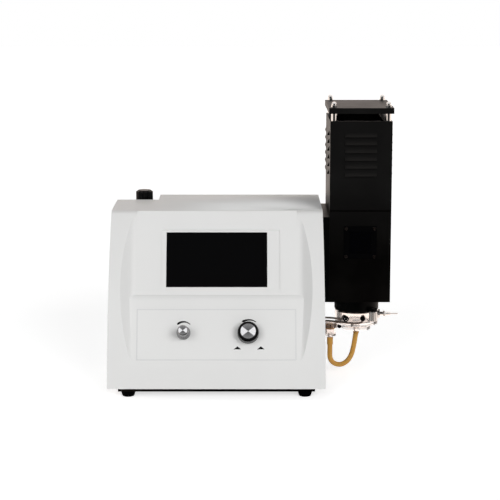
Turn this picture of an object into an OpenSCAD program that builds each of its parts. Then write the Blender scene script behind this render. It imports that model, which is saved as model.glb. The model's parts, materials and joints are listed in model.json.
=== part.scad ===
// Flame photometer for the laboratory bench: a sloping instrument case with a
// touch display, and a burner under a louvred chimney on its right side.
// Millimetres, +Z up, the front faces -Y.

/* [Case] */
// Width of the cover at its bottom edge
case_w = 335.5; // [315:0.5:355]
// Depth of the cover from its front edge to its rear edge
case_d = 277; // [265:1:300]
// Height of the cover's top above the bench
case_top = 276.5; // [270:0.5:290]
// Height of the cover's bottom edge above the bench
case_z0 = 17; // [15:0.5:20]
// Wall of the moulded cover
cover_wall = 3; // [2.5:0.5:4]
// Inward lean of each side wall in degrees
side_draft = 0.5; // [0.2:0.1:1]
// Lean of the front wings at their bottom edge in degrees
lean_low = 5; // [3:0.5:7]
// Lean of the front wings at their top edge in degrees
lean_high = 39.5; // [37:0.5:42]
// Radius of the shoulder between the wings and the top
shoulder_r = 14; // [10:1:16]
// Width of the notch in the rear left corner
notch_w = 70; // [66:1:76]
// Depth of the notch in the rear left corner
notch_d = 55; // [52:1:60]
// Clear space between pieces that fit inside each other
fit_gap = 0.3; // [0.2:0.05:0.5]
// Radial clearance of a turning spindle in its bore
run_gap = 0.05; // [0.02:0.01:0.09]

/* [Front panel] */
// Lean of the display panel in degrees
panel_lean = 24; // [22:0.5:26]
// Height at which the display panel meets the front wings
panel_z0 = 57; // [50:1:64]
// Width of the flat display panel between its sloping side walls
panel_w = 261.6; // [240:0.2:280]
// Slope of those side walls away from the panel's normal in degrees
wall_angle = 50; // [40:1:55]
// Soft fillet at the foot of the side walls
wall_fillet = 16; // [8:1:20]
// Distance up the panel to the top of the control face
box_top = 106; // [102:1:110]
// How far the control face stands out of the panel at its top
box_proud = 3.5; // [2:0.5:5]
// Rounding along the top of the control face
box_round = 14; // [8:1:18]
// Width of the display's glass
screen_w = 156.2; // [140:0.2:170]
// Height of the display's glass along the panel
screen_h = 87; // [80:0.5:92]
// Distance up the panel to the glass's lower edge
screen_s = 119; // [116:1:121]
// Depth of the shallow seat around the glass
seat_depth = 1.2; // [0.8:0.1:1.6]
// Thickness of the display's glass
glass_t = 2; // [1.5:0.1:2.4]

/* [Controls] */
// Sideways place of the fine knob
fine_x = -50.5; // [-60:0.5:-40]
// Sideways place of the gas knob
gas_x = 48.8; // [40:0.2:60]
// Distance up the control face to both knobs
knob_s = 46; // [40:0.5:52]
// Radius of the gas knob
gas_r = 16.8; // [15:0.1:19]
// Height of the gas knob's body
gas_h = 17; // [15:0.5:20]
// Radius of the fine knob's foot
fine_r = 10.6; // [10:0.1:12]
// Height of the fine knob
fine_h = 28; // [22:0.5:32]
// Radius of both valve spindles
spindle_r = 3; // [2.5:0.1:3.2]
// Thickness of the control label
label_t = 0.5; // [0.3:0.1:0.8]

/* [Chimney] */
// Gap between the case's side and the chimney, which the flange fills
flange_l = 7.95; // [7:0.05:12]
// Centre of the chimney behind the case's front edge
chim_y = 166; // [150:1:180]
// Width of the chimney
chim_w = 96.4; // [92:0.2:100]
// Depth of the chimney
chim_d = 140; // [130:1:150]
// Height of the lower housing's underside above the bench
house_z0 = 132; // [129:0.5:135]
// Height of the seam between the two housings
seam_z = 277.7; // [272:0.1:284]
// Height of the upper housing's top
chim_top = 417.5; // [405:0.5:430]
// Sheet thickness of the housings
sheet_t = 1.5; // [1:0.1:2]
// Length of the posts under the heat shield
post_h = 11.9; // [9:0.1:15]
// Radius of those posts
post_r = 4.5; // [4:0.1:5]
// How far the heat shield stands out on each side
shield_side = 2.1; // [1:0.1:4]
// How far the heat shield stands out in front and behind
shield_over = 1; // [0:0.5:4]
// Height of the heat shield's folded edge
shield_lip = 8.9; // [6:0.1:12]
// Height of the collar inside the seam
collar_h = 12; // [8:1:16]
// Number of louvres in each row
louvre_n = 6; // [3:1:7]
// Width of a front louvre
louvre_w = 49; // [40:1:60]
// Distance between louvres
louvre_pitch = 12.2; // [11:0.1:13]
// Height of the lowest louvre's lip
louvre_z = 331.8; // [320:0.1:340]
// Side of the square window plate
window_w = 51; // [46:0.5:56]
// Height of the window plate's centre
window_z = 228; // [220:1:235]

/* [Burner] */
// Radius of the black burner ring
ring_r = 35.6; // [33:0.1:38]
// Height of the ring's lower edge above the bench
ring_z = 105; // [103:0.5:107]
// Radius of the clear mixing chamber
chamber_r = 34.6; // [32:0.1:36]
// Height of the chamber's lower edge above the bench
chamber_z = 84; // [82:0.5:86]
// Wall of the mixing chamber
chamber_wall = 4; // [3:0.5:5]
// Radius of the chamber's lower bowl
bowl_r = 23; // [20:0.5:26]
// Height of the bowl's underside above the bench
bowl_z = 74; // [73:0.5:75]
// Height of the nebulizer's axis above the bench
neb_z = 98; // [96:0.5:99]
// Reach of the nebulizer's capillary from the burner's axis
neb_reach = 67.7; // [64:0.1:72]
// Radius of the inner glass chimney
flame_glass_r = 31; // [28:0.5:34]
// Distance from the burner's axis to the drain cup
cup_reach = 42.2; // [40:0.1:43]
// Radius of the drain cup
cup_r = 9.6; // [9:0.1:10]
// Height of the drain cup's underside above the bench
cup_z = 62; // [60:0.5:63]

/* [Rear and inside] */
// Radius of the regulator's knob
reg_knob_r = 14; // [12:0.1:15]
// Height of the regulator knob's top above the bench
reg_top = 288.5; // [286:0.5:294]
// Height of the regulator's knob
reg_knob_h = 25; // [22:0.5:28]
// Pull that unlocks the regulator's knob
reg_pull = 3; // [2:0.5:4]
// Width of the regulator's body
reg_w = 40; // [38:1:42]
// Radius of the smooth hose tails for gas and air
tail_r = 4; // [3:0.1:4.5]
// Length of those hose tails
tail_l = 18; // [14:1:20]
// Thickness of the chassis plate and rear panel
steel_t = 2; // [1.5:0.1:2.5]
// Height of the feet
foot_h = 9.5; // [8:0.5:11]
// Radius of a foot where it meets the pan
foot_r = 11.6; // [10:0.1:13]
// Height of the optical axis above the bench
optic_z = 222; // [215:1:228]

/* [Hidden] */
$fn = 64;
cap_h = 2.2;
nut_t = 2.5;
small = 0.01;
far = 60;
// Front wings: one large arc from the lower to the upper lean.
front_r = (case_top - case_z0) / (sin(lean_high) - sin(lean_low));
front_cz = case_z0 - front_r * sin(lean_low);
front_cy = front_r * cos(lean_low);
function front_y(z) = front_cy - sqrt(pow(front_r, 2) - pow(z - front_cz, 2));
shoulder_z = case_top - shoulder_r;
// The shoulder's circle crosses the wings' arc, this far in front of where it would only touch it.
shoulder_out = 0.05;
shoulder_y = front_cy - shoulder_out
    - sqrt(pow(front_r - shoulder_r, 2) - pow(shoulder_z - front_cz, 2));
shoulder_ang = asin((shoulder_z - front_cz) / (front_r - shoulder_r));
// Foot of the display panel and of the control face.
foot_y = front_y(panel_z0);
face_lean = panel_lean - atan(box_proud / box_top);
panel_top_y = foot_y + (case_top - panel_z0) * tan(panel_lean);
box_sunk = 0.05;
label_w = panel_w - 16;
label_s = 3.7;
label_h = box_top - 26.1;
// Notch walls.
notch_x = notch_w - case_w / 2;
notch_y = case_d - notch_d;
// Base.
pan_h = case_z0 - foot_h;
pan_w = case_w - 32;
pan_y0 = 13;
pan_d = case_d - pan_y0 - 12;
foot_dx = pan_w / 2 - 15.2;
foot_y0 = pan_y0 + 7;
foot_y1 = pan_y0 + pan_d - 16;
// Where the case's right wall stands at a height.
function wall_x(z) = case_w / 2 - (z - case_z0) * tan(side_draft);
chim_x = case_w / 2 + flange_l + chim_w / 2;
house_x0 = chim_x - chim_w / 2;
house_y0 = chim_y - chim_d / 2;
shield_top = chim_top + post_h + shield_lip;
shield_t = 1.2;
flange_top = case_top - 8.5;
flange_seat = 0.05;
shield_w = chim_w + 2 * shield_side;
shield_d = chim_d + 2 * shield_over;
glass_h = seam_z - house_z0 - 27.7;
post_dx = chim_w / 2 - 6;
post_dy = chim_d / 2 - 8;
nut_h = 9.4;
// Regulator.
reg_x = notch_x - 25;
reg_y = notch_y + 28;
reg_knob_z = reg_top - reg_knob_h;
reg_body_z = reg_knob_z - reg_pull - 54;
reg_body_h = 54;
reg_bowl_h = 82;
reg_bowl_r = 18.5;
reg_port_z = reg_body_z + 22;
reg_pipe_r = 4;
stem_r = 4;
// Burner.
tip_x = chim_x + neb_reach;
neb_out = chamber_r + 0.5;
neb_cone = 6.4;
neb_sleeve = neb_out + 14.5 + neb_cone;
burner_r = 14;
cup_x = chim_x - cup_reach;
head_z = house_z0 + 34;
// Fasteners and small bores.
bush_r = 5;
screw_r = 2;
screw_head = 2.2;
cover_screw_y = [45, case_d - 100];
lip_w = 30;
stud_r = 2.5;
lip_z = case_z0 + steel_t + 9;
lip_h = 18;
// Rear connectors.
inlet_x = case_w / 2 - 49.75;
inlet_z = 62;
inlet_w = 27.4;
inlet_h = 27.4;
switch_x = inlet_x - 38;
switch_w = 13.2;
switch_h = 19.4;
port_x = 30;
tail_x = -30;
fuse_w = 21;
vent_w = 110;
vent_z = 170;
vent_pitch = 10;
fuse_h = 7;
rocker_tilt = 7;
// Board, optics and window.
board_y = 100;
board_w = 136;
board_d = 108;
board_t = 1.6;
board_lift = 6;
board_z = case_z0 + steel_t + board_lift;
supply_w = 42;
supply_d = 120;
supply_h = 46;
supply_wall = 2;
supply_y = case_d - supply_d - 45;
block_x = case_w / 2 - 63.75;
supply_x = block_x - supply_w - 4;
board_x = supply_x - board_w - 10;
block_w = 46;
block_d = 50;
snout_r = 16.4;
window_open = window_w - 16;
// Burner details.
igniter_r = 2.5;
clamp_x = 24.8;
clamp_y = -35;
clamp_r = 6.6;
clamp_stud_r = 2;
clamp_z = ring_z - 11;
lug_z = clamp_z + 15.5;
lug_t = 4.5;
port_z = chamber_z + 13;
port_a = -18.8;
port_b = 8;
arm_z = chamber_z - 8;
// Drain hose: outer radius and a route from the bowl's outlet round to the cup.
hose_r = 4.1;
outlet_r = 2.4;
hose_route = [
    [chim_x, 0, bowl_z - 3], [chim_x, 0, 66.5], [chim_x - 1, 0, 61], [chim_x - 2, 0, 53.5],
    [chim_x - 3.1, 0, 46.9], [chim_x - 4.4, 0, 40.2], [chim_x - 5.9, 0, 33.6], [chim_x - 8.5, 0, 27],
    [chim_x - 12.3, 0, 20.8], [cup_x + 24.7, 0, 16], [cup_x + 18.9, 0, 13.4], [cup_x + 12.9, 0, 13.3],
    [cup_x + 7.2, 0, 15.2], [cup_x + 2.9, 0, 19], [cup_x + 0.6, 0, 24], [cup_x, 0, 30], [cup_x, 0, 36],
    [cup_x, 0, 46], [cup_x, 0, cup_z - 3]
];
// Thin supply lines for gas and air, from the case's wall to the chamber's ports.
line_r = 1.6;
gas_line = [
    [chim_x - 22, -33.6, port_z], [chim_x - 28, -33, port_z], [chim_x - 34, -32, port_z + 0.3],
    [chim_x - 42, -30.2, 97.8], [chim_x - 50, -29.2, 98], [wall_x(98) - 5, -29, 98]
];
air_line = [
    [chim_x + 8, -36.6, 95], [chim_x + 6.8, -37.4, 92.4], [chim_x + 2, -38.8, 91],
    [chim_x - 7, -39.5, 90.8], [chim_x - 18, -38.5, 91.4], [chim_x - 30, -35, 92.2],
    [chim_x - 42, -31, 92.8], [chim_x - 50, -29.4, 93], [wall_x(93) - 5, -29, 93]
];
// The model's own zero is the middle of its footprint.
knob_tip_y = foot_y + knob_s * sin(face_lean)
    - (fine_h + 1) * cos(face_lean) - (fine_r - 3.6) * sin(face_lean);
rear_tip_y = case_d + tail_l + 10;
mid_x = (tip_x - wall_x(lip_z) - screw_head) / 2;
mid_y = (rear_tip_y + knob_tip_y) / 2;

// ---- shared shapes ----
module place() translate([-mid_x, -mid_y, 0]) children();

module on_panel() translate([0, foot_y, panel_z0]) rotate([-panel_lean, 0, 0]) children();

module on_face() translate([0, foot_y, panel_z0]) rotate([-face_lean, 0, 0]) children();

// Axis of a control: children stand on the face and point out of it.
module on_control(x) on_face() translate([x, 0, knob_s]) rotate([90, 0, 0]) children();

module on_rear(x, z) translate([x, case_d, z]) rotate([-90, 0, 0]) children();

module burner_axis() translate([chim_x, chim_y, 0]) children();

module ring(r, hole, h) difference() {
    cylinder(r = r, h = h);
    translate([0, 0, -1]) cylinder(r = hole, h = h + 2);
}

module slot_row(n, pitch, w, h, depth) for (i = [0 : n - 1])
    translate([-w / 2, -depth / 2, i * pitch]) cube([w, depth, h]);

// A tube swept along hand-set points, as one closed skin.
function unit(v) = v / norm(v);
function tangent(p, i) = unit(p[min(i + 1, len(p) - 1)] - p[max(i - 1, 0)]);
function ring_points(p, i, r, n, up) =
    let (t = tangent(p, i), a = unit(cross(t, up)), b = cross(a, t))
    [for (k = [0 : n - 1]) p[i] + r * (cos(360 * k / n) * a + sin(360 * k / n) * b)];
module swept_tube(p, r, n, up) {
    rings = len(p);
    points = [for (i = [0 : rings - 1]) each ring_points(p, i, r, n, up)];
    walls = [for (i = [0 : rings - 2]) for (k = [0 : n - 1]) let (q = (k + 1) % n)
        each [[i * n + k, i * n + q, (i + 1) * n + q], [i * n + k, (i + 1) * n + q, (i + 1) * n + k]]];
    first = [for (k = [1 : n - 2]) [0, k + 1, k]];
    last = [for (k = [1 : n - 2]) [(rings - 1) * n, (rings - 1) * n + k, (rings - 1) * n + k + 1]];
    polyhedron(points, concat(walls, first, last));
}

// ---- case ----
module case_profile(t) {
    z_low = t > 0 ? case_z0 - 4 : case_z0;
    back = t > 0 ? case_d + 4 : case_d;
    reach = shoulder_r + far;
    seam = [shoulder_y - reach * cos(shoulder_ang), shoulder_z + reach * sin(shoulder_ang)];
    translate([shoulder_y, z_low]) square([back - shoulder_y, case_top - t - z_low]);
    intersection() {
        translate([shoulder_y, shoulder_z]) circle(shoulder_r - t);
        translate([shoulder_y - reach, shoulder_z - reach]) square([reach, 2 * reach]);
    }
    intersection() {
        translate([front_cy, front_cz]) circle(front_r - t, $fn = 360);
        polygon([
            [-far, z_low], [shoulder_y, z_low], [shoulder_y, shoulder_z], seam, [-far, seam.y]
        ]);
    }
}

module side_slab(t) translate([case_w / 2 - t, -far, case_z0]) rotate([0, -side_draft, 0])
    translate([-case_w - far, 0, -far]) cube([case_w + far, case_d + 2 * far, case_top + 2 * far]);

module case_block(t) intersection() {
    rotate([90, 0, 90]) linear_extrude(case_w + 10, center = true) case_profile(t);
    side_slab(t);
    mirror([1, 0, 0]) side_slab(t);
}

module notch_space(t) translate([-case_w, notch_y - t, -1])
    cube([case_w + notch_x + t, notch_d + 2 * far, case_top + far]);

// The valley between the wings, with sloping walls and soft corners.
module pocket_section(t) {
    half = panel_w / 2 + t / cos(wall_angle) - t * tan(wall_angle);
    soft = t > 0 ? 0 : wall_fillet * tan((90 - wall_angle) / 2);
    top_half = half + (far + t) * tan(wall_angle);
    polygon([
        [-top_half, -far], [-half - soft * sin(wall_angle), t - soft * cos(wall_angle)],
        [soft - half, t], [half - soft, t],
        [half + soft * sin(wall_angle), t - soft * cos(wall_angle)], [top_half, -far]
    ]);
    if (soft > 0) for (x = [soft - half, half - soft])
        translate([x, -wall_fillet]) circle(wall_fillet);
}

module panel_valley(t) on_panel() translate([0, 0, -far])
    linear_extrude(case_top + 2 * far) pocket_section(t);

// Corner block: the display panel's plane ends in a sharp edge at the top.
module panel_block() rotate([90, 0, 90]) linear_extrude(panel_w - 12, center = true) polygon([
    [panel_top_y - 2 * shoulder_r * tan(panel_lean), case_top - 2 * shoulder_r],
    [panel_top_y, case_top], [case_d / 2, case_top], [case_d / 2, case_top - 2 * shoulder_r]
]);

module control_block() on_face() rotate([90, 0, 90])
    linear_extrude(panel_w + 2 * box_proud * tan(wall_angle), center = true) {
        arc_s = box_top - sqrt(pow(box_round, 2) - pow(box_round - box_proud, 2));
        polygon([[box_sunk, 0], [0, arc_s], [box_round, arc_s], [box_round, 0]]);
        translate([box_round, arc_s]) intersection() {
            circle(box_round);
            translate([-box_round, 0]) square(box_round);
        }
    }

module case_outside() difference() {
    union() {
        difference() {
            case_block(0);
            panel_valley(0);
        }
        panel_block();
        control_block();
    }
    notch_space(0);
}

module case_inside(t) difference() {
    case_block(t);
    panel_valley(t);
    notch_space(t);
}

module case_cover() color("whitesmoke") place() difference() {
    case_outside();
    case_inside(cover_wall);
    // Even wall behind the control face.
    on_face() translate([-panel_w / 2 + 8, cover_wall, 10])
        cube([panel_w - 16, box_round, box_top - 22]);
    // Seat and window of the display.
    on_panel() rotate([90, 0, 90]) translate([0, 0, -screen_w / 2 - 8])
        linear_extrude(screen_w + 28) polygon([
            [-1, screen_s - 9], [0, screen_s - 7], [seat_depth, screen_s - 2.5],
            [seat_depth, screen_s + screen_h + 3], [-1, screen_s + screen_h + 5]
        ]);
    on_panel() translate([-screen_w / 2 - fit_gap, -1, screen_s - fit_gap])
        cube([screen_w + 2 * fit_gap, cover_wall + 4, screen_h + 2 * fit_gap]);
    for (x = [fine_x, gas_x]) on_control(x) translate([0, 0, -far / 4])
        cylinder(r = bush_r + fit_gap, h = far / 2);
    // Light path and supply lines through the right wall.
    translate([case_w / 2 - 12, chim_y, optic_z]) rotate([0, 90, 0]) cylinder(r = 17, h = 24);
    for (p = [gas_line[len(gas_line) - 1], air_line[len(air_line) - 1]])
        translate([case_w / 2 - 12, chim_y + p.y, p.z]) rotate([0, 90, 0])
            cylinder(r = line_r + fit_gap, h = 24, $fn = 32);
    // Air pipe through the notch wall.
    translate([notch_x - 4, reg_y, reg_port_z]) rotate([0, 90, 0])
        cylinder(r = reg_pipe_r + fit_gap, h = 16, $fn = 32);
    cover_screw_places() translate([0, 0, -14]) cylinder(r = screw_r + fit_gap, h = 20, $fn = 32);
}

// Screws through the cover's side walls into the chassis lips, axis outwards.
module cover_screw_places() {
    for (y = cover_screw_y) translate([wall_x(lip_z), y, lip_z]) rotate([0, 90 - side_draft, 0])
        children();
    for (y = cover_screw_y) translate([-wall_x(lip_z), y, lip_z])
        rotate([0, side_draft - 90, 0]) children();
}

module chassis_plate() color("silver") place() difference() {
    union() {
        intersection() {
            case_inside(cover_wall + fit_gap);
            translate([-case_w, -far, case_z0]) cube([2 * case_w, case_d + far - 3, steel_t]);
        }
        // Lips for the cover's screws.
        intersection() {
            difference() {
                case_block(cover_wall + fit_gap);
                case_block(cover_wall + fit_gap + steel_t);
            }
            for (y = cover_screw_y) translate([-case_w, y - lip_w / 2, case_z0])
                cube([2 * case_w, lip_w, lip_h]);
        }
        board_corners() {
            translate([0, 0, -0.5]) cylinder(r = 3, h = board_lift + 0.5, $fn = 32);
            cylinder(r = 1.7, h = board_lift + 2.4, $fn = 32);
        }
        // Lip for the rear panel.
        translate([notch_x + cover_wall + 8, case_d - 2 * steel_t - 1.2, case_z0])
            cube([case_w / 2 - notch_x - 40, steel_t, lip_h]);
    }
    cover_screw_places() translate([0, 0, -14]) cylinder(r = screw_r, h = 20, $fn = 32);
    foot_places() cylinder(r = screw_r, h = far, $fn = 32);
    rear_screw_places() translate([0, 0, -12]) cylinder(r = screw_r, h = 24, $fn = 32);
}

module base_pan() color("#1c1c1e") place() difference() {
    translate([-pan_w / 2, pan_y0, foot_h]) cube([pan_w, pan_d, pan_h]);
    translate([-pan_w / 2 + steel_t, pan_y0 + steel_t, foot_h + steel_t])
        cube([pan_w - 2 * steel_t, pan_d - 2 * steel_t, pan_h]);
    foot_places() cylinder(r = screw_r + fit_gap, h = far, $fn = 32);
}

module foot_places() for (x = [-foot_dx, foot_dx]) for (y = [foot_y0 + 5, foot_y1])
    translate([x, y, 0]) children();

module feet() color("#151515") place() foot_places() difference() {
    rotate_extrude() polygon([
        [0, 0], [foot_r - 5.2, 0], [foot_r - 3.6, 0.7], [foot_r - 2.9, 2], [foot_r, foot_h - 1.2],
        [foot_r, foot_h], [0, foot_h]
    ]);
    translate([0, 0, -1]) cylinder(r = screw_r + 2.6, h = 5, $fn = 32);
    cylinder(r = screw_r + fit_gap, h = foot_h + 1, $fn = 32);
}

module pan_screw(l) {
    translate([0, 0, -l]) cylinder(r = screw_r, h = l, $fn = 32);
    difference() {
        intersection() {
            cylinder(r = screw_r + 1.8, h = screw_head, $fn = 32);
            translate([0, 0, screw_head - 7.3]) sphere(r = 7.3);
        }
        translate([0, 0, 1.2]) cube([5.2, 0.9, 3], center = true);
        translate([0, 0, 1.2]) cube([0.9, 5.2, 3], center = true);
    }
}

module rear_screw_places() for (x = [notch_x + 30, 20, case_w / 2 - 30])
    on_rear(x, case_z0 + 12) translate([0, 0, -1.2 + 0.2]) children();

module case_screws() color("silver") place() {
    cover_screw_places() pan_screw(10);
    foot_places() translate([0, 0, 4]) rotate([180, 0, 0]) pan_screw(case_z0 + steel_t - 4);
    rear_screw_places() pan_screw(6);
}

module rear_panel() color("gainsboro") place() difference() {
    intersection() {
        case_inside(cover_wall + fit_gap);
        translate([-case_w, case_d - steel_t - 1, case_z0 + steel_t + 0.2])
            cube([2 * case_w, steel_t, case_top]);
    }
    on_rear(inlet_x, inlet_z) cube([inlet_w, inlet_h, 20], center = true);
    on_rear(switch_x, inlet_z) cube([switch_w, switch_h, 20], center = true);
    on_rear(port_x, inlet_z) cube([19.4, 10.4, 20], center = true);
    on_rear(tail_x, inlet_z + 6) translate([0, 0, -10]) cylinder(r = tail_r + 2 + fit_gap, h = 20);
    rear_screw_places() translate([0, 0, -10]) cylinder(r = screw_r + fit_gap, h = 20, $fn = 32);
    translate([20, case_d - steel_t, vent_z]) slot_row(6, vent_pitch, vent_w, 4, 12);
}

// ---- display and control face ----
module display_glass() color("#0b0b0d") place() on_panel()
    translate([-screen_w / 2, seat_depth - 0.4, screen_s]) cube([screen_w, glass_t, screen_h]);

module display_module() color("dimgray") place() on_panel() {
    back = seat_depth - 0.4 + glass_t;
    translate([-screen_w / 2, back, screen_s]) cube([screen_w, 3.4, screen_h]);
    translate([-screen_w / 2 - 6, back + 3.4 + 0.3, screen_s - 6])
        cube([screen_w + 12, 2, screen_h + 12]);
    translate([-screen_w / 2 + 14, back + 3.3, screen_s + 8]) cube([screen_w - 28, 9, screen_h - 16]);
}

module control_label() color("whitesmoke") place() on_face() difference() {
    translate([-label_w / 2, -label_t, label_s]) cube([label_w, label_t, label_h]);
    for (x = [fine_x, gas_x]) translate([x, 0, knob_s]) rotate([90, 0, 0])
        translate([0, 0, -2]) cylinder(r = bush_r + fit_gap, h = 5);
}

module panel_valve(body_w, body_l) difference() {
    union() {
        translate([-body_w / 2, -body_w / 2, -cover_wall - body_l]) cube([body_w, body_w, body_l]);
        translate([0, 0, -cover_wall - small]) cylinder(r = bush_r, h = cover_wall + nut_t + 1.4);
        translate([0, body_w / 2 - 1, -cover_wall - body_l + 8]) rotate([-90, 0, 0])
            cylinder(r = 3, h = 11);
        translate([body_w / 2 - 1, 0, -cover_wall - body_l + 8]) rotate([0, 90, 0])
            cylinder(r = 3, h = 11);
    }
    translate([0, 0, -cover_wall - body_l + 14]) cylinder(r = spindle_r + run_gap, h = far);
}

module gas_valve() color("darkgoldenrod") place() on_control(gas_x) panel_valve(26, 34);

module fine_valve() color("darkgoldenrod") place() on_control(fine_x) panel_valve(20, 34);

module panel_nuts() color("silver") place() for (x = [fine_x, gas_x]) on_control(x)
    translate([0, 0, label_t]) difference() {
        cylinder(r = 7.2, h = nut_t, $fn = 6);
        translate([0, 0, -1]) cylinder(r = bush_r, h = nut_t + 2);
    }

module gas_knob() color("#17171a") place() on_control(gas_x) difference() {
    translate([0, 0, 1]) union() {
        cylinder(r1 = gas_r, r2 = gas_r - 0.8, h = gas_h - 1.5);
        translate([0, 0, gas_h - 1.5]) cylinder(r1 = gas_r - 0.8, r2 = gas_r - 2.3, h = 1.5);
    }
    translate([0, 0, 0]) cylinder(r = 8.4, h = 5);
    cylinder(r = spindle_r, h = 13);
}

module gas_knob_cap() color("silver") place() on_control(gas_x) translate([0, 0, gas_h + 1]) {
    cylinder(r = gas_r - 2.5, h = 1);
    cylinder(r = gas_r - 5.2, h = 2);
    translate([0, 0, 2]) cylinder(r1 = gas_r - 5.2, r2 = gas_r - 5.4, h = cap_h - 2);
}

module gas_spindle() color("silver") place() on_control(gas_x) translate([0, 0, -cover_wall - 16])
    cylinder(r = spindle_r, h = cover_wall + 16 + 13);

module fine_knob() color("silver") place() on_control(fine_x) difference() {
    translate([0, 0, 1]) union() {
        cylinder(r = fine_r, h = 4);
        translate([0, 0, 4]) cylinder(r1 = fine_r, r2 = fine_r - 2.4, h = 3);
        cylinder(r = fine_r - 2.4, h = fine_h - 1.4);
        translate([0, 0, fine_h - 1.4]) cylinder(r1 = fine_r - 2.4, r2 = fine_r - 3.6, h = 1.4);
    }
    cylinder(r = 8, h = 5);
    cylinder(r = spindle_r, h = 16);
}

module fine_spindle() color("silver") place() on_control(fine_x)
    translate([0, 0, -cover_wall - 16]) cylinder(r = spindle_r, h = cover_wall + 16 + 16);

// ---- inside the case ----
module board_corners() for (x = [6, board_w - 6]) for (y = [6, board_d - 6])
    translate([board_x + x, board_y + y, case_z0 + steel_t]) children();

module main_board() color("darkgreen") place() {
    top = board_z + board_t;
    difference() {
        translate([board_x, board_y, board_z]) cube([board_w, board_d, board_t]);
        board_corners() cylinder(r = 1.7, h = far, $fn = 32);
    }
    translate([board_x + 0.15 * board_w, board_y + 0.22 * board_d, top]) cube([26, 26, 2.4]);
    translate([board_x + 0.46 * board_w, board_y + 0.19 * board_d, top]) cube([14, 40, 9]);
    translate([board_x + 0.66 * board_w, board_y + 0.56 * board_d, top]) cube([30, 18, 14]);
    for (i = [0 : 3]) translate([board_x + 0.18 * board_w + 13 * i, board_y + 0.72 * board_d, top])
        cylinder(r = 4.5, h = 13, $fn = 32);
}

module power_supply() color("silver") place() translate([supply_x, supply_y, case_z0 + steel_t]) {
    inner_w = supply_w - 2 * supply_wall;
    difference() {
        cube([supply_w, supply_d, supply_h]);
        translate([supply_wall, 8, supply_wall]) cube([inner_w, supply_d - 16, supply_h]);
    }
    translate([supply_wall, 12, supply_wall]) cube([inner_w, supply_d - 38, board_t]);
    translate([8, 38, supply_wall + board_t]) cube([supply_w - 16, supply_d / 4, supply_h / 2]);
}

module optics_block() color("#202020") place() difference() {
    union() {
        translate([block_x, chim_y - block_d / 2, optic_z - block_d / 2])
            cube([block_w, block_d, block_d]);
        translate([block_x + block_w - 1, chim_y, optic_z]) rotate([0, 90, 0])
            cylinder(r = snout_r, h = house_x0 - fit_gap - block_x - block_w + 1);
        for (x = [block_x, block_x + block_w - 4]) translate([x, chim_y - block_d / 2, case_z0 + steel_t])
            cube([4, block_d, optic_z - case_z0 - steel_t - block_d / 2 + 1]);
    }
    translate([block_x + 9, chim_y - block_d / 2 + 4, optic_z - block_d / 2 + 4])
        cube([block_w - 14, block_d - 8, block_d - 8]);
    translate([block_x + 20, chim_y, optic_z]) rotate([0, 90, 0]) cylinder(r = 13, h = 99);
    translate([house_x0 - 10, chim_y, optic_z]) rotate([0, 90, 0]) cylinder(r = 14.5, h = 20);
    for (y = [-11, 11]) translate([block_x - 1, chim_y + y, optic_z]) rotate([0, 90, 0]) {
        cylinder(r = 5, h = 12);
        translate([0, 0, 6]) cylinder(r = 8, h = 6);
    }
}

module lens() color("lightcyan") place() translate([house_x0 - 10, chim_y, optic_z])
    rotate([0, 90, 0]) intersection() {
        cylinder(r = 14.5, h = 6);
        translate([0, 0, -31.5]) sphere(r = 36, $fn = 128);
    }

module colour_filters() color("khaki") place() for (y = [-11, 11])
    translate([block_x + 5, chim_y + y, optic_z]) rotate([0, 90, 0]) cylinder(r = 8, h = 4);

module detectors() color("silver") place() for (y = [-11, 11])
    translate([block_x - 8, chim_y + y, optic_z]) rotate([0, 90, 0]) {
        cylinder(r = 7, h = 8);
        cylinder(r = 5, h = 13);
    }

// ---- rear ----
module power_inlet() color("#1a1a1c") place() on_rear(inlet_x, inlet_z) difference() {
    union() {
        translate([0, 0, -12]) cube([inlet_w - 2 * fit_gap, inlet_h - 2 * fit_gap, 22], center = true);
        translate([0, 0, 0.2]) cube([inlet_w + 10, inlet_h + 3, 2.4], center = true);
    }
    translate([0, 5, -6]) cube([22, 12.4, 22], center = true);
    translate([0, -7.5, -5]) cube([fuse_w + 2 * fit_gap, fuse_h + 2 * fit_gap, 18], center = true);
}

module fuse_drawer() color("#2a2a2c") place() on_rear(inlet_x, inlet_z) {
    translate([0, -7.5, -5.5]) cube([fuse_w, fuse_h, 13.8], center = true);
    translate([0, -7.5, 2.4]) cube([fuse_w, fuse_h, 2], center = true);
}

module switch_housing() color("#1a1a1c") place() on_rear(switch_x, inlet_z) difference() {
    union() {
        translate([0, 0, -9]) cube([switch_w - 2 * fit_gap, switch_h - 2 * fit_gap, 18], center = true);
        translate([0, 0, 0.2]) cube([switch_w + 3, switch_h + 3, 2.4], center = true);
    }
    translate([0, 0, -3]) cube([switch_w - 3.4, switch_h - 3.4, 12], center = true);
}

module switch_rocker() color("firebrick") place() on_rear(switch_x, inlet_z)
    translate([0, 0, -2.4]) rotate([rocker_tilt, 0, 0]) {
        rotate([0, 90, 0]) cylinder(r = 1.5, h = switch_w - 3.5, center = true, $fn = 32);
        rotate([90, 0, 90]) linear_extrude(switch_w - 4.4, center = true) polygon([
            [-6.6, 5.6], [0, 4.2], [6.6, 5.6], [6.6, 1.4], [2, -1.6], [-2, -1.6], [-6.6, 1.4]
        ]);
    }

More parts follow.
